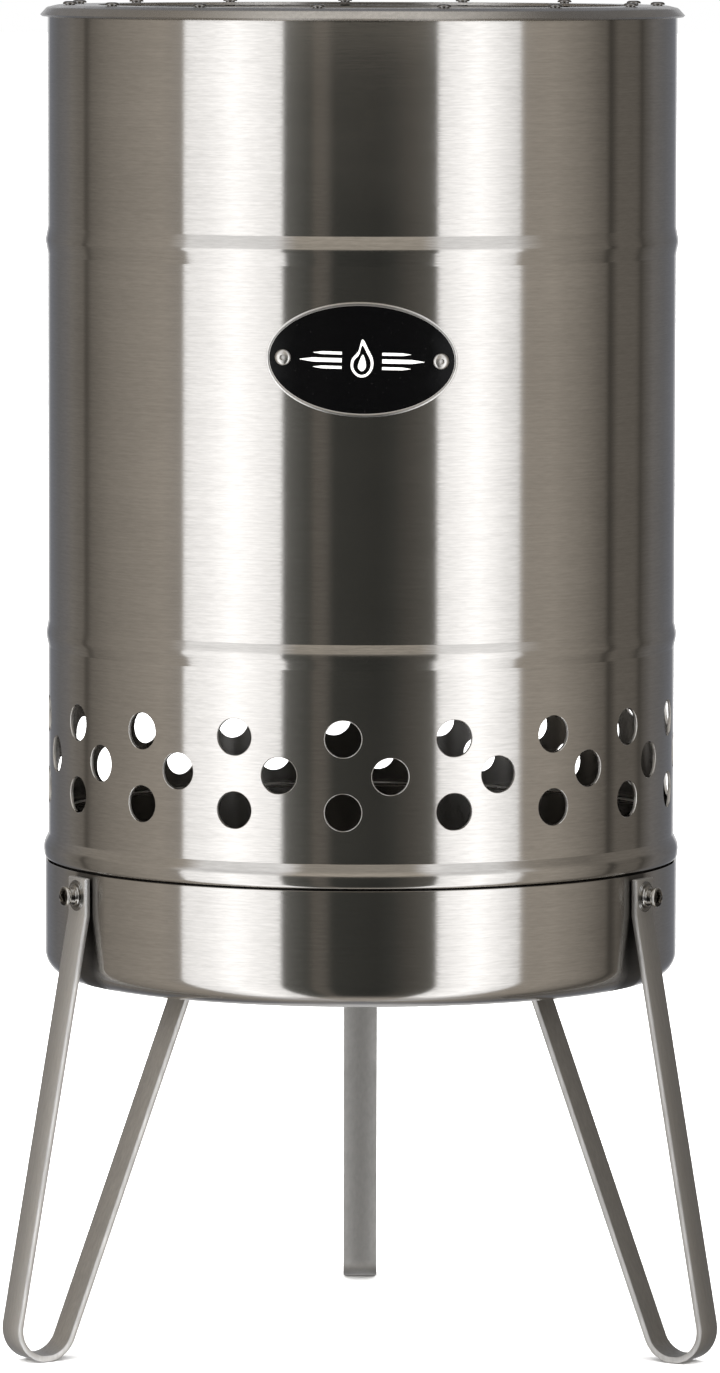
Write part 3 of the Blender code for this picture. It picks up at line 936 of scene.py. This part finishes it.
# ---- fasteners ---------------------------------------------------------------------------------------------------
def build_ring_rivets():
    """Blind rivets: a low dome with the broken mandrel's pit in the middle."""
    top = RING_TOP + 0.3
    low = JACKET_TOP - 1.2
    outline = [
        (0.0, top + 0.45),
        (0.55, top + 0.47),
        (0.68, top + 0.6),
        (0.78, top + 0.86),
        (1.0, top + 0.92),
        *[
            (1.0 + 1.3 * math.sin(math.radians(a)), top + 0.22 + 0.7 * math.cos(math.radians(a)))
            for a in (18, 36, 54, 72, 90)
        ],
        (2.3, top + 0.08),
        (2.2, top),
        (1.5, top),
        (1.5, low),
        (1.9, low - 0.15),
        (2.1, low - 0.7),
        (1.8, low - 1.4),
        (0.9, low - 1.75),
        (0.0, low - 1.8),
    ]
    first = None
    for k in range(RIVETS):
        name = f"ring_rivet_{k + 1:02d}"
        x, y = around(RIVET_CIRCLE, RIVET_PHASE + k * 360.0 / RIVETS)
        if first is None:
            first = lathe(name + "_blind", outline, rivet_steel, sides=28, closed=False)
            thing = first
        else:
            thing = bpy.data.objects.new(name + "_blind", first.data)
            bpy.context.scene.collection.objects.link(thing)
        thing.location = (x * MM, y * MM, 0.0)
        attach(thing, "chimney")
        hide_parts(name)


build_ring_rivets()


def build_plate_rivets():
    out = 100.0 + 0.3 + 0.8 + 0.3
    outline = [
        (0.0, out + 0.25),
        (0.68, out + 0.25),
        (0.74, out + 0.95),
        (0.86, out + 1.08),
        (1.25, out + 1.06),
        (1.8, out + 0.92),
        (2.2, out + 0.68),
        (2.45, out + 0.38),
        (2.55, out + 0.1),
        (2.5, out - 0.05),
        (1.4, out - 0.05),
        (1.4, 98.5),
        (2.0, 98.45),
        (2.2, 97.9),
        (1.9, 97.1),
        (0.0, 96.8),
    ]
    for side, name in ((-1.0, "left"), (1.0, "right")):
        angle = math.degrees(math.asin(side * PLATE_RIVET_X / 100.8))
        drop = -side * PLATE_RIVET_X * math.sin(math.radians(PLATE_TURN))
        thing = lathe(
            f"nameplate_rivet_{name}_head",
            outline,
            silver,
            sides=40,
            closed=False,
            matrix=in_metres(radial(angle, 0.0, PLATE_Z + drop)),
        )
        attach(thing, "chimney")
        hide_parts(f"nameplate_rivet_{name}")


build_plate_rivets()


def hexagon(bm, at, flats, low, high, hole):
    """A hexagonal nut with chamfered corners, as a ring of cells round its hole."""
    sides = 48
    rows = []
    corner = flats / 2 / math.cos(math.pi / 6)

    def reach(a):
        m = (a % (math.pi / 3)) - math.pi / 6
        return flats / 2 / math.cos(m)

    for z, kind in (
        (low, "hole"),
        (low, "face"),
        (low + 0.45, "side"),
        (high - 0.45, "side"),
        (high, "face"),
        (high, "hole"),
    ):
        row = []
        for k in range(sides):
            a = 2 * math.pi * k / sides
            if kind == "hole":
                r = hole
            elif kind == "face":
                r = flats / 2 - 0.1
            else:
                r = min(reach(a), corner - 0.12)
            row.append(bm.verts.new((r * math.cos(a), r * math.sin(a), z)))
        rows.append(row)
    for i in range(len(rows)):
        a, b = rows[i], rows[(i + 1) % len(rows)]
        for k in range(sides):
            m = (k + 1) % sides
            bm.faces.new((a[k], a[m], b[m], b[k]))


def build_leg_fasteners(side, angle):
    at = in_metres(radial(angle, 0.0, BOLT_Z))
    face = 101.05 + 0.3 + 2.0
    low = face + 0.02
    high = low + 0.6
    washer = lathe(
        f"leg_washer_{side}_disc",
        [
            (2.3, low),
            (4.78, low),
            (4.9, low + 0.12),
            (4.9, high - 0.42),
            (4.78, high - 0.26),
            (4.5, high - 0.22),
            (4.34, high),
            (2.45, high),
            (2.3, high - 0.15),
        ],
        washer_steel,
        sides=48,
        matrix=at,
    )
    seat = high + 0.02
    # a spool: flange, waist and flared head, with a six-lobed socket
    outer = [
        (2.0, 94.85),
        (2.0, seat - 0.1),
        (3.5, seat),
        (3.6, seat + 0.12),
        (3.6, seat + 0.4),
        (3.45, seat + 0.56),
        (2.95, seat + 0.62),
        (2.72, seat + 0.76),
        (2.64, seat + 1.0),
        (2.66, seat + 1.5),
        (2.75, seat + 2.2),
        (2.88, seat + 2.7),
        (3.02, seat + 2.98),
        (3.16, seat + 3.12),
        (3.24, seat + 3.3),
        (3.24, seat + 3.62),
        (3.16, seat + 3.84),
        (2.98, seat + 3.98),
        (2.72, seat + 4.04),
        (2.58, seat + 3.96),
        (2.4, seat + 3.94),
    ]
    bm = bmesh.new()
    sides = 48
    rows = []

    def ring_row(radius, z):
        return [
            bm.verts.new((radius * math.cos(2 * math.pi * k / sides), radius * math.sin(2 * math.pi * k / sides), z))
            for k in range(sides)
        ]

    def lobe_row(radius, z):
        row = []
        for k in range(sides):
            a = 2 * math.pi * k / sides
            r = radius * (1.0 + 0.13 * math.cos(6 * a))
            row.append(bm.verts.new((r * math.cos(a), r * math.sin(a), z)))
        return row

    for r, z in outer:
        rows.append(ring_row(r, z))
    rows.append(lobe_row(1.95, seat + 3.94))
    rows.append(lobe_row(1.82, seat + 3.8))
    rows.append(lobe_row(1.74, seat + 2.7))
    rows.append(lobe_row(1.35, seat + 2.62))
    for a, b in zip(rows, rows[1:]):
        for k in range(sides):
            m = (k + 1) % sides
            bm.faces.new((a[k], a[m], b[m], b[k]))
    tip = bm.verts.new((0.0, 0.0, 94.85 - 0.0))
    end = bm.verts.new((0.0, 0.0, seat + 2.6))
    for k in range(sides):
        m = (k + 1) % sides
        bm.faces.new((rows[0][k], rows[0][m], tip))
        bm.faces.new((rows[-1][k], rows[-1][m], end))
    bolt = finish_mesh(f"leg_bolt_{side}_spool", bm, bolt_steel, at, sharp=38.0)

    out = 100.05 - 0.8 - 0.6
    bm = bmesh.new()
    hexagon(bm, None, 7.0, out - 3.0, out, 2.3)
    nut = finish_mesh(f"leg_nut_{side}_hex", bm, bright_steel, at, sharp=28.0)

    x, y = around(53.0, angle)
    under = PAN_FLOOR - 0.3 - 2.0 - 0.3
    above = PAN_FLOOR + 0.7 + 0.3
    rivet = lathe(
        f"leg_rivet_{side}_dome",
        [
            (0.0, above + 1.2),
            (1.3, above + 1.16),
            (2.4, above + 0.98),
            (3.2, above + 0.55),
            (3.6, above + 0.05),
            (3.55, above),
            (2.0, above),
            (2.0, under),
            (3.95, under),
            (4.0, under - 0.1),
            (3.8, under - 0.75),
            (3.2, under - 1.4),
            (2.2, under - 1.82),
            (1.0, under - 1.98),
            (0.0, under - 2.0),
        ],
        bright_steel,
        sides=40,
        closed=False,
        matrix=Matrix.Translation((x * MM, y * MM, 0.0)),
    )
    for thing, node in (
        (washer, f"leg_washer_{side}"),
        (bolt, f"leg_bolt_{side}"),
        (nut, f"leg_nut_{side}"),
        (rivet, f"leg_rivet_{side}"),
    ):
        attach(thing, "stand")
        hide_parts(node)


# ---- legs --------------------------------------------------------------------------------------------------------
def strap_line():
    """Middle line of a leg strap in the plane through the axis, with smooth bends."""
    half = 1.0
    tab = 101.05 + 0.3 + half
    lean, slope = math.radians(10.4), math.radians(21.5)
    bend = 9.5
    flat = math.radians(8.0)
    centre_r, centre_z = 116.6, bend * math.cos(flat) + half
    first, last = 10.4, -180.0 + 21.5
    foot = []
    steps = 44
    for i in range(steps + 1):
        a = math.radians(first + (last - first) * i / steps)
        z = centre_z + bend * math.sin(a)
        foot.append((centre_r + bend * math.cos(a), max(z, half + 0.02)))
    top_r, top_z = foot[0]
    bend_z = top_z + (top_r - tab) / math.tan(lean)
    under = PAN_FLOOR - 0.3 - half
    end_r, end_z = foot[-1]
    run = end_r - (under - end_z) * math.tan(slope)
    upper = fillet([(tab, 152.2), (tab, bend_z, 1.8), (top_r, top_z)], 3)
    upper = level(upper[:-1], 6.0) + level([upper[-2], upper[-1]], 12.0)[1:]
    inner = fillet([(end_r, end_z), (run, under, 4.0), (45.0, under)], 8)
    inner = [inner[0]] + level([inner[0], inner[1]], 12.0)[1:-1] + inner[1:-1] + level([inner[-2], inner[-1]], 8.0)[1:]
    return upper[:-1] + foot + inner[1:]


def build_leg(side, angle):
    path = strap_line()
    path.insert(1, (path[0][0], path[0][1] - 0.25))
    wide, half = 5.5, 1.0
    # outline of the strap across its length: flat faces, soft corners with a painted highlight, slightly hollow sheared
    # sides
    soft = 0.34
    section = [
        (-wide + soft, half),
        (-wide + soft * 0.35, half - soft * 0.28),
        (-wide + 0.02, half - soft),
        (-wide, 0.0),
        (-wide + 0.06, -half + soft),
        (-wide + soft * 0.5, -half + soft * 0.2),
        (-wide + soft * 1.4, -half),
        (wide - soft * 1.4, -half),
        (wide - soft * 0.5, -half + soft * 0.2),
        (wide - 0.06, -half + soft),
        (wide, 0.0),
        (wide - 0.02, half - soft),
        (wide - soft * 0.35, half - soft * 0.28),
        (wide - soft, half),
    ]
    kinds = {k: 1 for k in (2, 3, 4, 8, 9, 10)}
    kinds.update({k: 2 for k in (0, 1, 11, 12)})
    kinds.update({k: 3 for k in (4, 5, 6, 7, 8)})
    a = math.radians(angle)
    bm = bmesh.new()
    rows = []
    count = len(path)
    for i, p in enumerate(path):
        here = Vector(p)
        ways = []
        if i:
            ways.append((here - Vector(path[i - 1])).normalized())
        if i + 1 < count:
            ways.append((Vector(path[i + 1]) - here).normalized())
        way = sum(ways, Vector((0.0, 0.0))).normalized()
        out = Vector((-way.y, way.x))
        flat = Vector((-ways[0].y, ways[0].x))
        reach = 1.0 / max(0.5, out.dot(flat))
        row = []
        for across, up in section:
            if i in (0, count - 1):  # a small bevel at the cut ends
                across *= (wide - 0.2) / wide
                up *= 0.8
            r, z = here + out * (up * reach)
            row.append(
                bm.verts.new((r * math.sin(a) + across * math.cos(a), -r * math.cos(a) + across * math.sin(a), z))
            )
        rows.append(row)
    n = len(section)
    for row, after in zip(rows, rows[1:]):
        for k in range(n):
            m = (k + 1) % n
            f = bm.faces.new((row[k], row[m], after[m], after[k]))
            f.material_index = kinds.get(k, 0)
            # the top cut end also gets the corners' painted highlight
            if row is rows[0]:
                f.material_index = 2
    for row in (rows[0], rows[-1]):
        f = bm.faces.new(row)
        f.material_index = 1
    # each strap's first material is the copy with its side's painted light and shade
    leg_metals = (strap_lit_and_shaded[side], strap_edge, corner_highlight_steel, strap_back)
    leg = finish_mesh(f"leg_{side}_strap", bm, leg_metals, sharp=24.0)
    # holes for the bolt and the rivet
    bm = bmesh.new()
    spin(bm, [(0.0, 98.0), (2.3, 98.0), (2.3, 108.0), (0.0, 108.0)], 28, closed=False, matrix=radial(angle, 0.0, BOLT_Z))
    x, y = around(53.0, angle)
    spin(bm, [(0.0, 111.0), (2.3, 111.0), (2.3, 119.0), (0.0, 119.0)], 28, closed=False, matrix=Matrix.Translation((x, y, 0.0)))
    boolean_out(leg, finish_mesh("cutter", bm))
    leg.data.materials.clear()
    for m in leg_metals:
        leg.data.materials.append(m)
    leg.data.shade_smooth()
    leg.data.set_sharp_from_angle(angle=math.radians(24))
    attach(leg, "stand")
    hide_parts(f"leg_{side}")
    return leg


for leg_side, leg_angle in LEG_ANGLES.items():
    build_leg(leg_side, leg_angle)
    build_leg_fasteners(leg_side, leg_angle)


# ---- nameplate ---------------------------------------------------------------------------------------------------
NEAR = 100.3
TILT = math.radians(PLATE_TURN)


def wrap(u, v, rise):
    """A point of the plate: u along the arc, v up, rise above its back, turned with the plate."""
    u, v = u * math.cos(TILT) + v * math.sin(TILT), v * math.cos(TILT) - u * math.sin(TILT)
    a = u / NEAR
    r = NEAR + rise
    return (r * math.sin(a), -r * math.cos(a), PLATE_Z + v)


def strip(bm, outline, low, high, index):
    """A flat raised shape with a closed outline of (u, v)."""
    top = [bm.verts.new(wrap(u, v, high)) for u, v in outline]
    base = [bm.verts.new(wrap(u, v, low)) for u, v in outline]
    n = len(outline)
    faces = [bm.faces.new(top), bm.faces.new(base[::-1])]
    for k in range(n):
        m = (k + 1) % n
        faces.append(bm.faces.new((base[k], base[m], top[m], top[k])))
    for f in faces:
        f.material_index = index


def build_nameplate():
    reach = NEAR * math.asin(PLATE_WIDE / 2 / NEAR)
    high = PLATE_HIGH / 2
    bm = bmesh.new()
    spokes = 120
    # rows from the middle out: field, inner foot of the rim, rim crest, outer edge, then the back
    border = 0.95
    rows = []

    def row_at(inset, rise, share=1.0):
        row = []
        for j in range(spokes):
            t = 2 * math.pi * j / spokes
            a, b = reach, high
            # inset along the ellipse's own normal
            nx, ny = math.cos(t) / a, math.sin(t) / b
            size = math.hypot(nx, ny)
            u = (a * math.cos(t) - inset * nx / size) * share
            v = (b * math.sin(t) - inset * ny / size) * share
            row.append(bm.verts.new(wrap(u, v, rise)))
        return row

    spec = []
    for i in range(1, 10):
        spec.append((border + 0.12, 0.62, i / 9.0, 0))
    spec += [
        (border, 0.74, 1.0, 1),
        (border - 0.2, 0.8, 1.0, 1),
        (0.28, 0.8, 1.0, 1),
        (0.08, 0.72, 1.0, 1),
        (0.0, 0.5, 1.0, 1),
        (0.0, 0.1, 1.0, 1),
        (0.1, 0.0, 1.0, 1),
    ]
    for i in range(8, 0, -1):
        spec.append((0.1, 0.0, i / 9.0, 1))
    for inset, rise, share, _ in spec:
        rows.append(row_at(inset, rise, share))
    front = bm.verts.new(wrap(0.0, 0.0, 0.62))
    back = bm.verts.new(wrap(0.0, 0.0, 0.0))
    for k in range(spokes):
        m = (k + 1) % spokes
        f = bm.faces.new((front, rows[0][k], rows[0][m]))
        f.material_index = 0
        f = bm.faces.new((back, rows[-1][m], rows[-1][k]))
        f.material_index = 1
    for i, (a, b) in enumerate(zip(rows, rows[1:])):
        for k in range(spokes):
            m = (k + 1) % spokes
            f = bm.faces.new((a[k], b[k], b[m], a[m]))
            f.material_index = spec[i + 1][3]
    plate = finish_mesh("nameplate_oval", bm, [black, silver], sharp=35.0)
    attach(plate, "chimney")
    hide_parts("nameplate")

    # plain raised marks: a simple flame and tapering lines beside it
    bm = bmesh.new()
    low, top = 0.5, 0.72

    def smooth_loop(points, steps=5):
        """A closed loop through the points, rounded between them."""
        n = len(points)
        out = []
        for i in range(n):
            p0, p1, p2, p3 = (points[(i + j - 1) % n] for j in range(4))
            for s in range(steps):
                t = s / steps
                out.append(
                    tuple(
                        0.5
                        * (
                            2 * p1[d]
                            + (p2[d] - p0[d]) * t
                            + (2 * p0[d] - 5 * p1[d] + 4 * p2[d] - p3[d]) * t * t
                            + (3 * p1[d] - p0[d] - 3 * p2[d] + p3[d]) * t * t * t
                        )
                        for d in (0, 1)
                    )
                )
        return out

    def ribbon(outer, inner):
        """The band between two loops with the same number of points."""
        rows = []
        for loop, rise in ((outer, low), (outer, top), (inner, top), (inner, low)):
            rows.append([bm.verts.new(wrap(u, v, rise)) for u, v in loop])
        n = len(outer)
        for i in range(4):
            a, b = rows[i], rows[(i + 1) % 4]
            for k in range(n):
                m = (k + 1) % n
                f = bm.faces.new((a[k], a[m], b[m], b[k]))
                f.material_index = 0

    flame = [(0.0, 6.3), (1.9, 3.2), (3.35, 0.2), (3.3, -2.6), (1.9, -4.7), (0.0, -5.4), (-1.9, -4.7), (-3.3, -2.6), (-3.1, 0.2), (-1.2, 2.6)]
    loop = smooth_loop(flame)
    inner = [(u * 0.78, (v + 1.1) * 0.78 - 1.3) for u, v in loop]
    ribbon(loop, inner)
    core = [(0.2, 1.6), (1.1, -0.6), (1.15, -2.4), (0.0, -3.5), (-1.15, -2.4), (-0.9, -0.8)]
    heart = smooth_loop(core)
    strip(bm, heart, low, top, 0)
    for side in (-1.0, 1.0):
        for v, near, far, thick in ((1.9, 6.2, 15.0, 0.42), (-0.3, 6.2, 19.2, 0.62), (-2.5, 6.2, 15.0, 0.42)):
            n = 14
            upper, lower = [], []
            for k in range(n + 1):
                u = near + (far - near) * k / n
                taper = 1.0 if k < n - 4 else (n - k + 0.35) / 4.6
                upper.append((side * u, v + thick * taper))
                lower.append((side * u, v - thick * taper))
            strip_rows = []
            for rise in (low, top):
                strip_rows.append(
                    (
                        [bm.verts.new(wrap(u, w, rise)) for u, w in upper],
                        [bm.verts.new(wrap(u, w, rise)) for u, w in lower],
                    )
                )
            (bu, bl), (tu, tl) = strip_rows
            for k in range(n):
                for loop4 in (
                    (tu[k], tu[k + 1], tl[k + 1], tl[k]),
                    (bu[k + 1], bu[k], bl[k], bl[k + 1]),
                    (tu[k + 1], tu[k], bu[k], bu[k + 1]),
                    (tl[k], tl[k + 1], bl[k + 1], bl[k]),
                ):
                    bm.faces.new(loop4)
            bm.faces.new((tu[0], tl[0], bl[0], bu[0]))
            bm.faces.new((tu[n], bu[n], bl[n], tl[n]))
    marks = finish_mesh("nameplate_marks", bm, silver_paint, sharp=30.0)
    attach(marks, "chimney")
    return plate


build_nameplate()


# ---- floor, light and camera -------------------------------------------------------------------------------------
def build_floor():
    mesh = bpy.data.meshes.new("floor")
    size = 30.0
    mesh.from_pydata(
        [(-size, -size, 0.0), (size, -size, 0.0), (size, size, 0.0), (-size, size, 0.0)], [], [(0, 1, 2, 3)]
    )
    floor = bpy.data.objects.new("floor", mesh)
    bpy.context.scene.collection.objects.link(floor)
    floor.location.z = -0.0002
    t = Tree("pale_floor")
    where = t.coordinates()
    cloud = t.noise(where, 2.0, 2.0, 0.5)
    t.link(t.mix(t.span(cloud, 0.3, 0.7, 0.0, 1.0), (0.86, 0.86, 0.86), (0.9, 0.9, 0.9)), t.shader.inputs["Base Color"])
    t.shader.inputs["Roughness"].default_value = 0.9
    t.shader.inputs["Specular IOR Level"].default_value = 0.1
    mesh.materials.append(t.material)
    floor.visible_glossy = False
    return floor


build_floor()


def build_world():
    """A studio round the object, by direction: two tall softboxes at the front, a dim gap between them for the camera, warm
    grey walls to the sides, cooler ones behind, and pale light from above and below."""
    world = bpy.data.worlds.new("studio")
    bpy.context.scene.world = world
    world.use_nodes = True
    tree = world.node_tree
    tree.nodes.clear()
    t = Tree.__new__(Tree)
    t.tree, t.column = tree, -1600
    coord = t.node("ShaderNodeTexCoord").outputs["Generated"]
    parts = t.node("ShaderNodeSeparateXYZ")
    t.link(coord, parts.inputs[0])
    x, y, z = (parts.outputs[i] for i in range(3))
    turn = t.math("ARCTAN2", x, t.math("MULTIPLY", y, -1.0))
    share = t.math("ADD", t.math("DIVIDE", turn, 2 * math.pi), 0.5)
    height = t.math("MULTIPLY", t.math("ARCSINE", z), 180.0 / math.pi)

    def spot(degrees):
        return degrees / 360.0 + 0.5

    def grey(value, tint=(1.0, 0.94, 0.86)):
        return tuple(value * c for c in tint)

    warm, cool, white = (1.0, 0.915, 0.81), (0.94, 0.97, 1.07), (0.985, 0.995, 1.02)
    gap = (1.0, 1.02, 0.94)
    # the studio's bands at each azimuth from the front, seen from the object
    stops = [
        (-180, grey(0.70, white)),
        (-168.5, grey(0.62, white)),
        (-164.5, grey(0.23, cool)),
        (-158, grey(0.195, cool)),
        (-148, grey(0.172, (0.98, 0.975, 1.0))),
        (-139, grey(0.20, (1.0, 0.965, 0.965))),
        (-133, grey(0.225, (1.0, 0.94, 0.87))),
        (-123.4, grey(0.19, warm)),
        (-121.6, grey(0.085, warm)),
        (-119.8, grey(0.12, warm)),
        (-117.5, grey(0.19, warm)),
        (-104, grey(0.295, warm)),
        (-88, grey(0.375, warm)),
        (-78, grey(0.42, warm)),
        (-68.9, grey(0.38, (1.0, 0.93, 0.85))),
        (-68.0, grey(1.33, white)),
        (-58, grey(1.50, white)),
        (-47, grey(1.87, white)),
        (-36, grey(1.52, white)),
        (-29.3, grey(1.36, white)),
        (-28.3, grey(0.17, (1.0, 1.0, 0.95))),
        (-18.6, grey(0.075, gap)),
        (-17.6, grey(0.145, warm)),
        (-13.2, grey(0.145, (1.0, 0.93, 0.84))),
        (-10.2, grey(0.052, gap)),
        (6, grey(0.04, gap)),
        (11, grey(0.05, gap)),
        (17, grey(0.085, (1.0, 0.95, 0.86))),
        (27.2, grey(0.15, (1.0, 0.97, 0.88))),
        (28.2, grey(1.34, white)),
        (43, grey(1.85, white)),
        (59.0, grey(1.12, white)),
    ]
    more = [
        (-180, grey(0.70, white)),
        (59.0, grey(1.12, white)),
        (60.8, grey(0.40, warm)),
        (74, grey(0.41, warm)),
        (89, grey(0.285, warm)),
        (97.5, grey(0.19, warm)),
        (100.6, grey(0.165, warm)),
        (102.4, grey(0.06, warm)),
        (104.6, grey(0.09, warm)),
        (107.5, grey(0.165, warm)),
        (119, grey(0.155, warm)),
        (121.6, grey(0.13, warm)),
        (123.4, grey(0.07, warm)),
        (126, grey(0.12, (1.0, 0.93, 0.84))),
        (134, grey(0.19, (1.0, 0.955, 0.93))),
        (146, grey(0.165, (0.98, 0.98, 1.02))),
        (156, grey(0.18, cool)),
        (164.5, grey(0.23, cool)),
        (168.5, grey(0.62, white)),
        (180, grey(0.70, white)),
    ]
    left = t.ramp(share, [(spot(a), c) for a, c in stops])
    right = t.ramp(share, [(spot(a), c) for a, c in more])
    behind = t.math("GREATER_THAN", turn, math.radians(59.0))
    bands = t.mix(behind, left, right)

    # above and below the softboxes
    above_front = grey(0.56, (1.0, 0.92, 0.81))
    above_ramp = t.ramp(
        share,
        [
            (spot(-180), grey(0.22, cool)),
            (spot(-120), grey(0.30, warm)),
            (spot(-75), grey(0.45, warm)),
            (spot(-66), grey(0.94, white)),
            (spot(-32), grey(0.94, white)),
            (spot(-24), above_front),
            (spot(22), above_front),
            (spot(30), grey(0.94, white)),
            (spot(58), grey(0.90, white)),
            (spot(70), grey(0.42, warm)),
            (spot(96), grey(0.20, warm)),
            (spot(125), grey(0.20, warm)),
            (spot(180), grey(0.22, cool)),
        ],
    )
    high_ramp = t.ramp(
        share,
        [
            (spot(-180), grey(0.22, cool)),
            (spot(-120), grey(0.27, warm)),
            (spot(-75), grey(0.42, warm)),
            (spot(-66), grey(1.15, white)),
            (spot(-32), grey(1.15, white)),
            (spot(-24), grey(0.36, (1.0, 0.93, 0.83))),
            (spot(22), grey(0.38, (1.0, 0.93, 0.83))),
            (spot(30), grey(1.15, white)),
            (spot(58), grey(1.05, white)),
            (spot(68), grey(0.28, warm)),
            (spot(100), grey(0.15, warm)),
            (spot(180), grey(0.22, cool)),
        ],
    )
    lift = t.span(height, 9.0, 17.0, 0.0, 1.0)
    rise = t.span(height, 28.0, 40.0, 0.0, 1.0)
    dip = t.span(height, -58.0, -74.0, 0.0, 1.0)
    low_front = grey(0.50, (1.0, 0.93, 0.85))
    below_ramp = t.ramp(
        share,
        [
            (spot(-180), grey(0.26, cool)),
            (spot(-110), grey(0.34, warm)),
            (spot(-60), grey(0.62, white)),
            (spot(-20), low_front),
            (spot(20), low_front),
            (spot(60), grey(0.62, white)),
            (spot(110), grey(0.34, warm)),
            (spot(180), grey(0.26, cool)),
        ],
    )
    colour = t.mix(lift, bands, above_ramp)
    colour = t.mix(rise, colour, high_ramp)
    colour = t.mix(dip, colour, below_ramp)
    zenith = t.span(height, 55.0, 75.0, 0.0, 1.0)
    colour = t.mix(zenith, colour, grey(0.75, (1.0, 0.97, 0.93)))
    lit = t.node("ShaderNodeBackground")
    t.link(colour, lit.inputs["Color"])
    plain = t.node("ShaderNodeBackground")
    plain.inputs["Color"].default_value = (1.0, 1.0, 1.0, 1.0)
    plain.inputs["Strength"].default_value = 1.0
    path = t.node("ShaderNodeLightPath")
    mixed = t.node("ShaderNodeMixShader")
    t.link(path.outputs["Is Camera Ray"], mixed.inputs[0])
    t.link(lit.outputs[0], mixed.inputs[1])
    t.link(plain.outputs[0], mixed.inputs[2])
    out = t.node("ShaderNodeOutputWorld")
    t.link(mixed.outputs[0], out.inputs["Surface"])
    world.cycles.sampling_method = "MANUAL"
    world.cycles.sample_map_resolution = 512


build_world()


def soft_light(name, place, aim, size, power, tint=(1.0, 0.99, 0.97), glossy=False):
    data = bpy.data.lights.new(name, "AREA")
    data.shape = "SQUARE"
    data.size = size
    data.energy = power
    data.color = tint
    light = bpy.data.objects.new(name, data)
    bpy.context.scene.collection.objects.link(light)
    light.location = place
    light.rotation_mode = "QUATERNION"
    light.rotation_quaternion = (Vector(aim) - Vector(place)).to_track_quat("-Z", "Y")
    light.visible_glossy = glossy
    return light


def soft_sun(name, tilt, strength, spread):
    """Even light over the whole floor, from a wide part of the sky, so its shadows are faint and soft."""
    data = bpy.data.lights.new(name, "SUN")
    data.energy = strength
    data.angle = math.radians(spread)
    light = bpy.data.objects.new(name, data)
    bpy.context.scene.collection.objects.link(light)
    light.rotation_euler = tilt
    light.visible_glossy = False
    return light


soft_sun("overhead_soft", (math.radians(14.0), 0.0, 0.0), 9.0, 110.0)
soft_light("front_soft", (-1.2, -3.4, 1.9), (0.0, 0.0, 0.1), 2.4, 40.0)


def build_camera():
    data = bpy.data.cameras.new("camera")
    camera = bpy.data.objects.new("camera", data)
    bpy.context.scene.collection.objects.link(camera)
    data.sensor_width = 36.0
    data.lens = 230.4
    data.clip_start, data.clip_end = 0.1, 100.0
    camera.rotation_mode = "XYZ"
    camera.location = (-0.0009, -2.8, 0.4553)
    camera.rotation_euler = (math.radians(90.0 - 5.045), math.radians(-0.12), 0.0)
    bpy.context.scene.camera = camera
    return camera


build_camera()
bpy.context.scene.view_settings.view_transform = "Standard"
bpy.context.scene.view_settings.look = "None"
